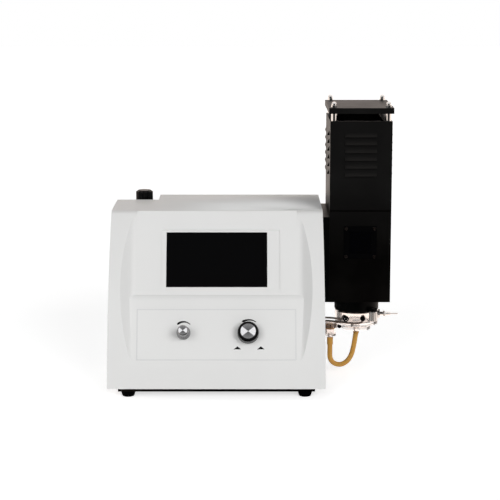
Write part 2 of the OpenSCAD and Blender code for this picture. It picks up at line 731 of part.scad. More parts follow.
module serial_port() color("silver") place() on_rear(port_x, inlet_z) {
    difference() {
        translate([0, 0, -4.9]) cube([18.8, 9.8, 22], center = true);
        translate([0, 0, 5]) cube([16.8, 7.8, 14], center = true);
    }
    translate([0, 0, -0.4]) difference() {
        cube([30.8, 12.4, 1.2], center = true);
        cube([18.8, 9.8, 4], center = true);
    }
    for (x = [-12.5, 12.5]) translate([x, 0, 0.2]) cylinder(r = 2.4, h = 4.8, $fn = 6);
    for (x = [-5.4, -2.7, 0, 2.7, 5.4]) translate([x, 1.4, -3]) cylinder(r = 0.5, h = 6, $fn = 16);
    for (x = [-4, -1.3, 1.4, 4.1]) translate([x, -1.4, -3]) cylinder(r = 0.5, h = 6, $fn = 16);
}

module gas_inlet() color("goldenrod") place() on_rear(tail_x, inlet_z + 6) difference() {
    union() {
        translate([0, 0, -15]) cylinder(r = tail_r + 2, h = 18);
        translate([0, 0, -1]) cylinder(r = 9, h = 11, $fn = 6);
        translate([0, 0, -6.5]) cylinder(r = 9, h = 3.4, $fn = 6);
        cylinder(r = tail_r, h = 10 + tail_l);
    }
    translate([0, 0, -20]) cylinder(r = tail_r - 1.6, h = far);
}

// ---- regulator in the notch ----
module reg_axis() translate([reg_x, reg_y, 0]) children();

module regulator_body() color("gainsboro") place() reg_axis() difference() {
    union() {
        translate([-reg_w / 2, -reg_w / 2, reg_body_z]) cube([reg_w, reg_w, reg_body_h - 14]);
        translate([0, 0, reg_body_z + reg_body_h - 14]) cylinder(r = reg_knob_r + 4, h = 4);
        translate([0, 0, reg_body_z + reg_body_h - 10]) cylinder(r = reg_knob_r - 2.4, h = 10);
        // Outlet pipe into the case and smooth air tail on the left.
        translate([reg_w / 2 - 1, 0, reg_port_z]) rotate([0, 90, 0])
            cylinder(r = reg_pipe_r, h = notch_x - reg_x - reg_w / 2 + 14, $fn = 32);
        translate([-reg_w / 2, 0, reg_port_z]) rotate([0, -90, 0]) {
            cylinder(r = tail_r + 1.5, h = 4, $fn = 6);
            cylinder(r = tail_r, h = 4 + tail_l);
        }
        translate([0, reg_w / 2 - 1, reg_port_z]) rotate([-90, 0, 0]) cylinder(r = 5, h = 5);
    }
    translate([0, 0, reg_body_z + 12]) cylinder(r = stem_r + run_gap, h = far);
    translate([0, 0, reg_body_z - 1]) cylinder(r = reg_bowl_r - 3, h = 11);
    translate([-reg_w / 2 - 30, 0, reg_port_z]) rotate([0, 90, 0]) cylinder(r = tail_r - 1.6, h = 34);
}

module regulator_bowl() color("#c8dcdc") place() reg_axis() difference() {
    union() {
        translate([0, 0, reg_body_z + 9]) mirror([0, 0, 1]) cylinder(r = reg_bowl_r - 3, h = 9);
        translate([0, 0, reg_body_z - reg_bowl_h + 14]) cylinder(r = reg_bowl_r, h = reg_bowl_h - 14);
        translate([0, 0, reg_body_z - reg_bowl_h + 4])
            cylinder(r1 = reg_bowl_r - 8, r2 = reg_bowl_r, h = 10);
        translate([0, 0, reg_body_z - reg_bowl_h - 2]) cylinder(r = 4, h = 7);
    }
    translate([0, 0, reg_body_z - reg_bowl_h + 14]) cylinder(r = reg_bowl_r - 5, h = reg_bowl_h + 9);
}

module pressure_gauge() color("#202020") place() reg_axis()
    translate([0, reg_w / 2 + 4, reg_port_z]) rotate([-90, 0, 0]) difference() {
        union() {
            cylinder(r = 18, h = 3);
            cylinder(r = 20, h = 14);
        }
        translate([0, 0, 10]) cylinder(r = 18.4, h = 9);
    }

module regulator_bracket() color("silver") place() reg_axis() {
    back = -reg_y + notch_y;
    difference() {
        translate([-reg_w / 2 - 2, back, reg_body_z + reg_body_h - 14.1]) union() {
            cube([reg_w + 4, 2, 26.1]);
        }
        translate([-13, back - 1, reg_body_z + reg_body_h + 4]) rotate([-90, 0, 0]) cylinder(r = 2.2, h = 5);
        translate([13, back - 1, reg_body_z + reg_body_h + 4]) rotate([-90, 0, 0]) cylinder(r = 2.2, h = 5);
    }
    translate([0, 0, reg_body_z + reg_body_h - 14 + 4]) difference() {
        translate([-reg_w / 2 - 2, back, 0]) cube([reg_w + 4, reg_w / 2 - back, 2]);
        translate([0, 0, -1]) cylinder(r = reg_knob_r - 2.4, h = 9);
    }
}

module regulator_stem() color("silver") place() reg_axis()
    translate([0, 0, reg_body_z + 14]) cylinder(r = stem_r, h = reg_body_h - 14 + 12);

module regulator_knob() color("#18181a") place() reg_axis() difference() {
    translate([0, 0, reg_knob_z]) union() {
        cylinder(r = reg_knob_r, h = reg_knob_h - 3);
        translate([0, 0, reg_knob_h - 3]) cylinder(r1 = reg_knob_r, r2 = reg_knob_r - 2, h = 1.4);
        translate([0, 0, reg_knob_h - 1.6]) cylinder(r1 = reg_knob_r - 2.6, r2 = reg_knob_r - 4, h = 1.6);
    }
    translate([0, 0, reg_knob_z - 1]) cylinder(r = stem_r + run_gap, h = 1 + 16);
    for (k = [0 : 23]) rotate(15 * k) translate([reg_knob_r + 0.5, 0, reg_knob_z + 3])
        cylinder(r = 1.1, h = reg_knob_h, $fn = 16);
}

// ---- chimney ----
module box_tube(z0, z1, out, wall) {
    w = chim_w - 2 * out;
    d = chim_d - 2 * out;
    translate([chim_x, chim_y, 0]) difference() {
        translate([-w / 2, -d / 2, z0]) cube([w, d, z1 - z0]);
        translate([wall - w / 2, wall - d / 2, z0 - 1]) cube([w - 2 * wall, d - 2 * wall, z1 - z0 + 2]);
    }
}

module chimney_flange() color("#141414") place() difference() {
    translate([case_w / 2 - 14, house_y0, house_z0])
        cube([house_x0 - case_w / 2 + 14, chim_d, flange_top - house_z0]);
    translate([0, case_d, 0]) rotate([90, 0, 0]) linear_extrude(case_d)
        polygon([
            [0, 0], [wall_x(0) + flange_seat, 0],
            [wall_x(case_top) + flange_seat, case_top], [0, case_top]
        ]);
    translate([case_w / 2 - 20, chim_y, optic_z]) rotate([0, 90, 0]) cylinder(r = 17, h = 60);
}

module window_at(depth) translate([chim_x, house_y0 - depth, window_z]) rotate([90, 0, 0]) children();

module lower_housing() color("#121212") place() difference() {
    union() {
        box_tube(house_z0, seam_z, 0, sheet_t);
        burner_axis() translate([-chim_w / 2, -chim_d / 2, house_z0]) cube([chim_w, chim_d, 2]);
        box_tube(seam_z - 14, seam_z - 1, sheet_t, sheet_t + fit_gap);
        box_tube(seam_z - 14, seam_z + collar_h, sheet_t + fit_gap, sheet_t);
    }
    burner_axis() translate([0, 0, house_z0 - 1]) cylinder(r = burner_r + 6, h = 4);
    burner_axis() rotate(35) translate([burner_r + 9, 0, house_z0 - 1])
        cylinder(r = igniter_r, h = 4, $fn = 32);
    translate([house_x0 - 3, chim_y, optic_z]) rotate([0, 90, 0]) cylinder(r = 17, h = 12);
    window_at(-3) cube([window_open + 4, window_open + 4, 12], center = true);
    window_corners() translate([0, 0, -6]) cylinder(r = 1.5, h = 20, $fn = 32);
}

module window_corners() window_at(0) for (x = [-1, 1]) for (y = [-1, 1])
    translate([x * (window_w / 2 - 3.4), y * (window_w / 2 - 3.4), 0]) children();

module window_plate() color("#1a1a1a") place() difference() {
    window_at(0) translate([-window_w / 2, -window_w / 2, 0]) cube([window_w, window_w, 2]);
    window_at(0) cube([window_open, window_open, 12], center = true);
    window_corners() translate([0, 0, -6]) cylinder(r = 1.5, h = 20, $fn = 32);
}

module window_glass() color("darkslateblue", 0.6) place() window_at(-sheet_t)
    translate([-window_open / 2 - 1.8, -window_open / 2 - 1.8, 0])
        cube([window_open + 3.6, window_open + 3.6, sheet_t]);

module window_screws() color("silver") place() window_corners() difference() {
    union() {
        translate([0, 0, -3]) cylinder(r = 1.5, h = 6, $fn = 32);
        translate([0, 0, 2]) cylinder(r = 2.7, h = 1.6, $fn = 32);
    }
    translate([0, 0, 3.4]) cube([4, 0.7, 1.2], center = true);
    translate([0, 0, 3.4]) cube([0.7, 4, 1.2], center = true);
}

// A pressed louvre: a slot under a sloping hood that is open at the bottom.
module louvre_hood(w) {
    rotate([90, 0, 90]) difference() {
        linear_extrude(w, center = true) polygon([[0, 8], [0, 0], [-3, 0], [-3, 1.4]]);
        linear_extrude(w - 2, center = true)
            polygon([[1, 5.2], [0, 6.4], [-2.2, 1], [-2.2, -1], [1, -1]]);
    }
}

module louvre_rows() for (side = [
    [0, house_y0, louvre_w, 0], [0, house_y0 + chim_d, louvre_w, 180],
    [-chim_w / 2, chim_y, chim_d - 60, -90], [chim_w / 2, chim_y, chim_d - 60, 90]
]) for (i = [0 : louvre_n - 1])
    translate([chim_x + side[0], side[1], louvre_z + i * louvre_pitch]) rotate(side[3]) {
        if ($hood) louvre_hood(side[2]);
        else translate([-side[2] / 2 + 1, -1, 0.6]) cube([side[2] - 2, sheet_t + 2, 4.6]);
    }

module upper_housing() color("#121212") place() {
    difference() {
        union() {
            box_tube(seam_z + fit_gap, chim_top, 0, sheet_t);
            box_tube(chim_top - 2, chim_top, 0, 12);
        }
        louvre_rows($hood = false);
        posts_at(chim_top - 4) cylinder(r = stud_r, h = 5, $fn = 32);
    }
    louvre_rows($hood = true);
}

module posts_at(z) burner_axis() for (x = [-post_dx, post_dx]) for (y = [-post_dy, post_dy])
    translate([x, y, z]) children();

module shield_posts() color("silver") place() posts_at(chim_top) {
    cylinder(r = post_r, h = post_h + shield_lip - shield_t);
    translate([0, 0, -4]) cylinder(r = stud_r, h = post_h + shield_lip + 4 + 5);
}

module heat_shield() color("#2a2624") place() difference() {
    burner_axis() translate([-shield_w / 2, -shield_d / 2, chim_top + post_h]) difference() {
        cube([shield_w, shield_d, shield_lip]);
        translate([shield_t, shield_t, -1])
            cube([shield_w - 2 * shield_t, shield_d - 2 * shield_t, shield_lip + 1 - shield_t]);
    }
    posts_at(chim_top) cylinder(r = stud_r, h = far, $fn = 32);
}

module cap_nuts() color("silver") place() posts_at(shield_top) difference() {
    union() {
        cylinder(r = 4.6, h = 4, $fn = 6);
        translate([0, 0, 3.6]) cylinder(r = 3.8, h = nut_h - 3.6 - 3.8);
        translate([0, 0, nut_h - 3.8]) sphere(r = 3.8);
    }
    translate([0, 0, -1]) cylinder(r = stud_r, h = 6, $fn = 32);
}

// ---- burner ----
module burner_ring() color("#0e0e10") place() burner_axis() difference() {
    union() {
        translate([0, 0, ring_z]) rotate_extrude() {
            translate([burner_r, 5]) square([ring_r - burner_r, 4]);
            translate([burner_r + 4, 0]) square([ring_r - 5 - burner_r - 4, 5]);
            translate([ring_r - 5, 5]) circle(5);
            translate([ring_r - 9, 5]) square([9, house_z0 - ring_z - 5]);
        }
        hull() for (p = [[clamp_x, clamp_y], [clamp_x * 0.7, clamp_y * 0.7]])
            translate([p.x, p.y, lug_z]) cylinder(r = clamp_r, h = lug_t, $fn = 32);
    }
    translate([clamp_x, clamp_y, lug_z - 1])
        cylinder(r = clamp_stud_r + run_gap, h = lug_t + 2, $fn = 32);
    translate([0, 0, ring_z + 9]) cylinder(r = ring_r - 9, h = 30);
}

module clamp_nut() color("silver") place() burner_axis() {
    translate([clamp_x, clamp_y, clamp_z]) difference() {
        union() {
            cylinder(r = clamp_r - 0.5, h = 15.2);
            translate([0, 0, 1]) cylinder(r = clamp_r, h = 13);
            cylinder(r = clamp_stud_r, h = 16 + lug_t);
        }
        for (k = [0 : 11]) rotate(30 * k) translate([clamp_r + 0.5, 0, -1])
            cylinder(r = 1.3, h = 20, $fn = 16);
    }
}

module burner_head() color("silver") place() burner_axis() difference() {
    union() {
        translate([0, 0, ring_z + 5]) cylinder(r = burner_r, h = head_z - ring_z - 14);
        translate([0, 0, head_z - 10]) cylinder(r = burner_r + 4, h = 8);
        translate([0, 0, head_z - 2]) cylinder(r1 = burner_r + 4, r2 = burner_r + 2, h = 2);
    }
    translate([0, 0, ring_z]) cylinder(r = burner_r - 3, h = head_z - ring_z - 4);
    for (n = [[6, 4], [12, 8], [18, 12]]) for (k = [0 : n[0] - 1]) rotate(360 * k / n[0])
        translate([n[1], 0, head_z - 8]) cylinder(r = 0.9, h = 12, $fn = 16);
}

module glass_chimney() color("lightcyan", 0.5) place() burner_axis()
    translate([0, 0, house_z0 + 2]) ring(flame_glass_r, flame_glass_r - 2, glass_h);

module igniter() color("ivory") place() burner_axis() rotate(35) translate([burner_r + 9, 0, 0]) {
    translate([0, 0, house_z0 - 14]) cylinder(r = igniter_r, h = head_z - house_z0 + 16, $fn = 32);
    translate([0, 0, head_z]) cylinder(r = 0.8, h = 9, $fn = 16);
    translate([0, 0, head_z + 8.2]) rotate([0, -90, 0]) cylinder(r = 0.8, h = 8, $fn = 16);
}

module chamber_ports() {
    translate([port_a, 0, port_z]) rotate([90, 0, 0]) translate([0, 0, 20]) cylinder(r = 4.2, h = 20);
    translate([port_b, 0, port_z + 1]) rotate([90, 0, 0]) translate([0, 0, 20]) cylinder(r = 3.8, h = 20);
    translate([20, 0, neb_z]) rotate([0, 90, 0]) cylinder(r = 5, h = 20);
}

module mixing_chamber() color("#dfe8ea", 0.5) place() burner_axis() difference() {
    translate([0, 0, chamber_z]) cylinder(r = chamber_r, h = ring_z - chamber_z);
    translate([0, 0, chamber_z + chamber_wall])
        cylinder(r = chamber_r - chamber_wall - 4, h = ring_z - chamber_z);
    translate([0, 0, chamber_z - 1]) cylinder(r = 6, h = 9);
    chamber_ports();
}

module chamber_bowl() color("#d8dede", 0.6) place() burner_axis() difference() {
    union() {
        translate([0, 0, bowl_z]) cylinder(r = bowl_r, h = chamber_z - bowl_z);
        translate([0, 0, bowl_z - 3]) cylinder(r = outlet_r + 1.6, h = 5);
    }
    translate([0, 0, bowl_z + 4]) cylinder(r = bowl_r - 4, h = chamber_z - bowl_z);
    translate([0, 0, bowl_z - 8]) cylinder(r = outlet_r, h = 20);
}

module drain_arm() color("#d8dede", 0.7) place() difference() {
    translate([0, chim_y, arm_z]) union() {
        translate([cup_x, 0, 0]) cylinder(r = cup_r + 3, h = chamber_z - arm_z);
        translate([cup_x, -7, 0]) cube([chim_x - cup_x, 14, chamber_z - arm_z]);
    }
    burner_axis() cylinder(r = bowl_r, h = 200);
    translate([cup_x, chim_y, 0]) cylinder(r = cup_r, h = 200);
    translate([cup_x + 14.4, chim_y - 12, arm_z + 4]) rotate([-90, 0, 0])
        cylinder(r = 1.6 + run_gap, h = 12, $fn = 32);
}

module thumb_screw() color("#151515") place() translate([cup_x + 14.4, chim_y, arm_z + 4])
    rotate([90, 0, 0]) {
        translate([0, 0, 1]) cylinder(r = 1.6, h = 7, $fn = 32);
        translate([0, 0, 7.4]) difference() {
            cylinder(r = 3.6, h = 6);
            for (k = [0 : 11]) rotate(30 * k) translate([3.9, 0, -1]) cylinder(r = 0.7, h = 9, $fn = 16);
        }
    }

module drain_cup() color("#dfe8ea", 0.5) place() translate([cup_x, chim_y, cup_z]) difference() {
    union() {
        cylinder(r = cup_r, h = chamber_z - cup_z - 1);
        translate([0, 0, -3]) cylinder(r = outlet_r + 1.6, h = 5);
    }
    translate([0, 0, 3]) cylinder(r = cup_r - 2, h = far);
    translate([0, 0, -8]) cylinder(r = outlet_r, h = 20);
}

module line_fittings() color("#3a3430") place() burner_axis() {
    translate([port_a, 0, port_z]) rotate([90, 0, 0]) difference() {
        union() {
            translate([0, 0, 25]) cylinder(r = 4.2, h = 11);
            translate([0, 0, 32.4]) cylinder(r = 5.2, h = 3.2, $fn = 6);
        }
        translate([0, 0, 20]) cylinder(r = 1.2, h = 12, $fn = 32);
    }
    translate([port_b, 0, port_z + 1]) rotate([90, 0, 0]) {
        translate([0, 0, 29]) cylinder(r = 3.8, h = 6);
        translate([0, 0, 34.9]) cylinder(r = 4.6, h = 3.4, $fn = 6);
    }
}

module supply_lines() color("#9a9490") place() translate([0, chim_y, 0]) {
    swept_tube(gas_line, line_r, 8, [0, 0, 1]);
    swept_tube(air_line, line_r, 8, [0.2, 1, 0.1]);
}

module nebulizer() color("silver") place() burner_axis() translate([0, 0, neb_z]) rotate([0, 90, 0])
    difference() {
        union() {
            translate([0, 0, chamber_r - 9]) cylinder(r = 5, h = 12);
            translate([0, 0, neb_out + 0.2]) cylinder(r = 7.6, h = 2.6);
            translate([0, 0, neb_out]) cylinder(r = 3.2, h = 8);
            translate([0, 0, neb_out + 12.4]) cylinder(r = 2.2, h = 2.4);
            translate([0, 0, neb_out + 7.9]) cylinder(r = 2.2, h = 6);
            translate([0, 0, neb_out + 14.4]) cylinder(r1 = 3.3, r2 = 2, h = neb_cone);
        }
        cylinder(r = 0.8, h = 99, $fn = 32);
    }

module nebulizer_nut() color("dimgray") place() burner_axis() translate([0, 0, neb_z])
    rotate([0, 90, 0]) translate([0, 0, neb_out + 8.3]) difference() {
        cylinder(r = 4.6, h = 3.8);
        translate([0, 0, -1]) cylinder(r = 2.2 + run_gap, h = 9);
        for (k = [0 : 17]) rotate(20 * k) translate([4.9, 0, -1]) cylinder(r = 0.6, h = 9, $fn = 16);
    }

module capillary() color("silver") place() burner_axis() translate([0, 0, neb_z]) rotate([0, 90, 0])
    difference() {
        union() {
            translate([0, 0, neb_out + 2]) cylinder(r = 0.8, h = neb_reach - neb_out - 2, $fn = 32);
            translate([0, 0, neb_sleeve]) cylinder(r = 1.4, h = neb_reach - neb_sleeve - 1.2);
        }
        cylinder(r = 0.4, h = 99, $fn = 16);
    }

module drain_tube() color("#c69b4e") place() translate([0, chim_y, 0])
    swept_tube(hose_route, hose_r, 12, [0, 1, 0]);

case_cover();
chassis_plate();
base_pan();
rear_panel();
feet();
case_screws();
display_glass();
display_module();
control_label();
gas_valve();
fine_valve();
panel_nuts();
main_board();
clamp_nut();
power_supply();
optics_block();
lens();
colour_filters();
detectors();
power_inlet();
switch_housing();
serial_port();
gas_inlet();
regulator_body();
regulator_bowl();
pressure_gauge();
regulator_bracket();
chimney_flange();
lower_housing();
window_plate();
window_glass();
window_screws();
burner_ring();
burner_head();
glass_chimney();
igniter();
mixing_chamber();
chamber_bowl();
drain_arm();
drain_cup();
supply_lines();
line_fittings();
nebulizer();
capillary();
drain_tube();
gas_knob();
gas_knob_cap();
gas_spindle();
fine_knob();
fine_spindle();
regulator_stem();
regulator_knob();
switch_rocker();
fuse_drawer();
upper_housing();
shield_posts();
heat_shield();
cap_nuts();
nebulizer_nut();
thumb_screw();
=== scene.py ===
"""Looks of a bench flame photometer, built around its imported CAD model.

Sizes are millimetres in the case's own frame (x from the case's middle, y from its front edge, z
from the bench) and become metres of the row frame through `at`. Finishes are drawn in metres.
"""

import json  # noqa: E402
import logging  # noqa: E402
import math  # noqa: E402
from abc import ABC, abstractmethod  # noqa: E402
from dataclasses import dataclass  # noqa: E402
from enum import Enum  # noqa: E402
from typing import Any, Callable, Iterable, Optional, Sequence, Union  # noqa: E402

import bmesh  # noqa: E402
import bpy  # noqa: E402
from mathutils import Matrix, Vector  # noqa: E402

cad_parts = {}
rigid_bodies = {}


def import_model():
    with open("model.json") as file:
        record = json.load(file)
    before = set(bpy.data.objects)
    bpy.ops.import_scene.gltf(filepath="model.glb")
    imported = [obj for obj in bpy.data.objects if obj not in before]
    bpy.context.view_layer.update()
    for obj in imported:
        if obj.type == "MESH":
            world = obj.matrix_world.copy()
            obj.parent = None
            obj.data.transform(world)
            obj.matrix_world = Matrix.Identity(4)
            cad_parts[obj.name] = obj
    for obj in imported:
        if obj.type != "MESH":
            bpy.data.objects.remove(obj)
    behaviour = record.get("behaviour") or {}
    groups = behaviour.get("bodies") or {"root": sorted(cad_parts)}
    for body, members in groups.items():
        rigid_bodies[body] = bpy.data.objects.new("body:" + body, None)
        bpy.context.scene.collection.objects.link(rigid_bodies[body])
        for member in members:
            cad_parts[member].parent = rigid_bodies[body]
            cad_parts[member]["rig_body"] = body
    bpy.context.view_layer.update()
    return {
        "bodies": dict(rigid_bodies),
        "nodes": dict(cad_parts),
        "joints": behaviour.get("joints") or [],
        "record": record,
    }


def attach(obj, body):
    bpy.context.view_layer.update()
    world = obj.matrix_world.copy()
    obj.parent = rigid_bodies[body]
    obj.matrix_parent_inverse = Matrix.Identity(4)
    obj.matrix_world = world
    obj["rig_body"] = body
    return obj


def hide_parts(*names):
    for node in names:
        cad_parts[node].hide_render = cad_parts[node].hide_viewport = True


log = logging.getLogger("flame_photometer")

MM = 0.001
MIDDLE = Vector((60.873, 149.019, 0.0))
Triple = tuple[float, float, float]
Pair = tuple[float, float]
Profile = Sequence[Pair]
Roundings = tuple[tuple[Any, ...], ...]
Names = tuple[str, ...]
WHITE: Triple = (1.0, 1.0, 1.0)
ORIGIN: Triple = (0.0, 0.0, 0.0)
NEAR = 0.1  # millimetres within which a point counts as in a face
TINY = 1e-8  # keeps a shader's division from zero


class Axis(Enum):
    """Ways for a piece to stand: the directions of its own +Z and +X."""

    UP = ((0.0, 0.0, 1.0), (-1.0, 0.0, 0.0))
    FRONT = ((0.0, -1.0, 0.0), (1.0, 0.0, 0.0))
    REAR = ((0.0, 1.0, 0.0), (-1.0, 0.0, 0.0))
    FACE = ((0.0, -0.92648, 0.37636), (1.0, 0.0, 0.0))


def at(x: float, y: float, z: float) -> Vector:
    """Gives a point of the case frame in metres of the row frame."""
    return (Vector((x, y, z)) - MIDDLE) * MM


def standing(foot: Triple, axis: Axis, turn: float = 0.0) -> Matrix:
    """Makes the transform that stands a piece, modelled along +Z in millimetres, at a point.

    Args:
        foot: Where its zero goes, in the case frame.
        axis: The way it stands.
        turn: Turn about its own +Z, in degrees.

    Returns:
        The transform from millimetres to the row frame.
    """
    up, side = (Vector(direction) for direction in axis.value)
    turned = Matrix((side, up.cross(side), up)).transposed().to_4x4()
    turned = turned @ Matrix.Rotation(math.radians(turn), 4, "Z")
    return Matrix.Translation(at(*foot)) @ turned @ Matrix.Scale(MM, 4)


def linked(name: str, data: bpy.types.ID) -> bpy.types.Object:
    """Makes an object and adds it to the scene.

    Args:
        name: Its name.
        data: What it shows.

    Returns:
        The object.
    """
    made = bpy.data.objects.new(name, data)
    bpy.context.scene.collection.objects.link(made)
    return made


# ---- shader maths ----
def math_node(operation: str, swapped: bool = False) -> Callable[["Wire", "Number"], "Wire"]:
    """Makes a method that adds one Math node.

    Args:
        operation: The node's operation.
        swapped: True for a reflected form, where the other value comes first.

    Returns:
        The method.
    """

    def method(self: "Wire", other: "Number") -> "Wire":
        """Adds the node for this wire and a number or another wire."""
        values = dict(enumerate((other, self) if swapped else (self, other)))
        return self.sheet.add("ShaderNodeMath", {"operation": operation}, values)

    return method


class Wire:
    """A shader socket that can stand in a Python expression."""

    __add__ = __radd__ = math_node("ADD")
    __mul__ = __rmul__ = math_node("MULTIPLY")
    __sub__, __rsub__ = math_node("SUBTRACT"), math_node("SUBTRACT", swapped=True)
    __truediv__, __rtruediv__ = math_node("DIVIDE"), math_node("DIVIDE", swapped=True)
    most, above, power = math_node("MAXIMUM"), math_node("GREATER_THAN"), math_node("POWER")

    def __init__(self, sheet: "NodeSheet", socket: bpy.types.NodeSocket) -> None:
        """Keeps the socket and the sheet that it is on."""
        self.sheet = sheet
        self.socket = socket

    def between(self, low: float, high: float) -> "Wire":
        """Rises from 0 at the low value to 1 at the high one and is held there."""
        values = {"Value": self, "From Min": low, "From Max": high}
        return self.sheet.add("ShaderNodeMapRange", {"clamp": True}, values)

    def swing(self, width: float) -> "Wire":
        """Turns a wire that goes from 0 to 1 into a swing of a width about 0."""
        return (self - 0.5) * width


Number = Union[float, Wire]
Paint = Union[Triple, Wire]


def opaque(paint: Paint) -> Union[tuple[float, ...], Wire]:
    """Gives a colour its alpha and leaves a wire as it is."""
    return paint if isinstance(paint, Wire) else (*paint, 1.0)


class NodeSheet:
    """The nodes of one material or world."""

    MIX_FIRST, MIX_SECOND, MIX_RESULT = 6, 7, 2

    def __init__(self, owner: Union[bpy.types.Material, bpy.types.World]) -> None:
        """Clears the nodes of the material or world to draw on.

        Args:
            owner: The material or world.
        """
        owner.use_nodes = True
        self.tree = owner.node_tree
        self.tree.nodes.clear()

    def add(
        self,
        kind: str,
        settings: Optional[dict[str, Any]] = None,
        values: Optional[dict[Union[str, int], Any]] = None,
        output: Union[str, int] = 0,
    ) -> Wire:
        """Adds one node, sets it up and fills its sockets.

        Args:
            kind: The node's type name.
            settings: Its properties.
            values: A value or a wire for each named or numbered socket.
            output: The output socket to return.

        Returns:
            The chosen output.
        """
        node = self.tree.nodes.new(kind)
        for name, setting in (settings or {}).items():
            setattr(node, name, setting)
        for key, value in (values or {}).items():
            if isinstance(value, Wire):
                self.tree.links.new(value.socket, node.inputs[key])
            else:
                node.inputs[key].default_value = value
        return Wire(self, node.outputs[output] if node.outputs else None)

    def coords(self) -> Wire:
        """Gives the object coordinates, which are metres in the row frame."""
        return self.add("ShaderNodeTexCoord", output="Object")

    def axes(self) -> list[Wire]:
        """Gives the three object coordinates; in a world they are the ray's direction."""
        place = self.coords()
        return [self.add("ShaderNodeSeparateXYZ", {}, {"Vector": place}, a) for a in "XYZ"]

    def stretched(self, scale: Triple) -> Wire:
        """Gives the object coordinates multiplied along each axis."""
        return self.add("ShaderNodeMapping", {}, {"Vector": self.coords(), "Scale": scale})

    def noise(self, scale: float, detail: float = 2.0, vector: Optional[Wire] = None) -> Wire:
        """Gives a noise from 0 to 1 with so many waves in a metre and octaves of detail."""
        values = {"Vector": vector or self.coords(), "Scale": scale, "Detail": detail}
        return self.add("ShaderNodeTexNoise", {}, values, "Fac")

    def tint(self, factor: Number, first: Paint, second: Paint) -> Wire:
        """Mixes two colours by a factor."""
        values = {"Factor": factor, self.MIX_FIRST: opaque(first), self.MIX_SECOND: opaque(second)}
        return self.add("ShaderNodeMix", {"data_type": "RGBA"}, values, self.MIX_RESULT)

    def blend(self, factor: Wire, first: Wire, second: Wire) -> Wire:
        """Mixes two shaders by a factor."""
        return self.add("ShaderNodeMixShader", {}, {0: factor, 1: first, 2: second})

    def plain(self, kind: str, paint: Paint, **values: Number) -> Wire:
        """Adds a shader of one colour, such as a Background or an Emission."""
        return self.add("ShaderNode" + kind, {}, {"Color": opaque(paint), **values})

    def ray(self, kind: str) -> Wire:
        """Gives 1 for the rays of a kind, such as Glossy."""
        return self.add("ShaderNodeLightPath", output=f"Is {kind} Ray")

    def bump(self, height: Wire, depth: float, after: Optional[Wire] = None) -> Wire:
        """Turns a height into a normal.

        Args:
            height: The height, from 0 to 1.
            depth: Metres between height 0 and 1.
            after: A normal to add to.

        Returns:
            The normal.
        """
        values: dict[Union[str, int], Any] = {"Height": height, "Distance": depth, "Strength": 1.0}
        if after is not None:
            values["Normal"] = after
        return self.add("ShaderNodeBump", {}, values, "Normal")

    def surface(self, **values: Any) -> None:
        """Ends the sheet with a Principled shader; underscores in its sockets' names are spaces."""
        sockets = {name.replace("_", " "): value for name, value in values.items()}
        self.output("Material", self.add("ShaderNodeBsdfPrincipled", {}, sockets))

    def output(self, kind: str, shader: Wire) -> None:
        """Ends the sheet of a Material or a World with its shader."""
        self.add(f"ShaderNodeOutput{kind}", {}, {"Surface": shader})


# ---- finishes ----
def shade(colour: Triple, factor: float) -> Triple:
    """Gives a colour made darker or lighter by a factor."""
    return tuple(min(1.0, part * factor) for part in colour)


@dataclass(frozen=True)
class Finish(ABC):
    """A material with the name of its slot in the record."""

    slot: str
    colour: Triple

    @abstractmethod
    def dress(self, sheet: NodeSheet) -> None:
        """Draws the material's nodes."""

    def material(self) -> bpy.types.Material:
        """Makes the material when it is first asked for.

        Returns:
            The material.
        """
        name = "finish_" + self.slot
        made = bpy.data.materials.get(name)
        if made is None:
            made = bpy.data.materials.new(name)
            self.dress(NodeSheet(made))
            made.diffuse_color = opaque(self.colour)
        return made


@dataclass(frozen=True)
class Moulded(Finish):
    """Moulded or painted surface with a fine grain, slight colour drift and handling marks."""

    roughness: float = 0.4
    grain: float = 1400.0
    depth: float = 0.00002
    drift: float = 0.03
    specular: float = 0.5
    cloud: float = 9.0
    cloud_edges: Pair = (0.3, 0.7)
    wipe: float = 38.0
    wipe_stretch: Triple = (1.0, 1.0, 0.35)
    wipe_width: float = 0.14
    grain_width: float = 0.06

    def dress(self, sheet: NodeSheet) -> None:
        """Draws grain, colour drift and a roughness that varies like wiped plastic.

        Args:
            sheet: The sheet to draw on.
        """
        broad = sheet.noise(self.cloud, detail=3.0)
        fine = sheet.noise(self.grain)
        wiped = sheet.noise(self.wipe, 4.0, sheet.stretched(self.wipe_stretch))
        low, high = (shade(self.colour, 1 + sign * self.drift) for sign in (-1, 1))
        sheet.surface(
            Base_Color=sheet.tint(broad.between(*self.cloud_edges), low, high),
            Roughness=self.roughness + wiped.swing(self.wipe_width) + fine.swing(self.grain_width),
            Specular_IOR_Level=self.specular,
            Normal=sheet.bump(fine, self.depth),
        )


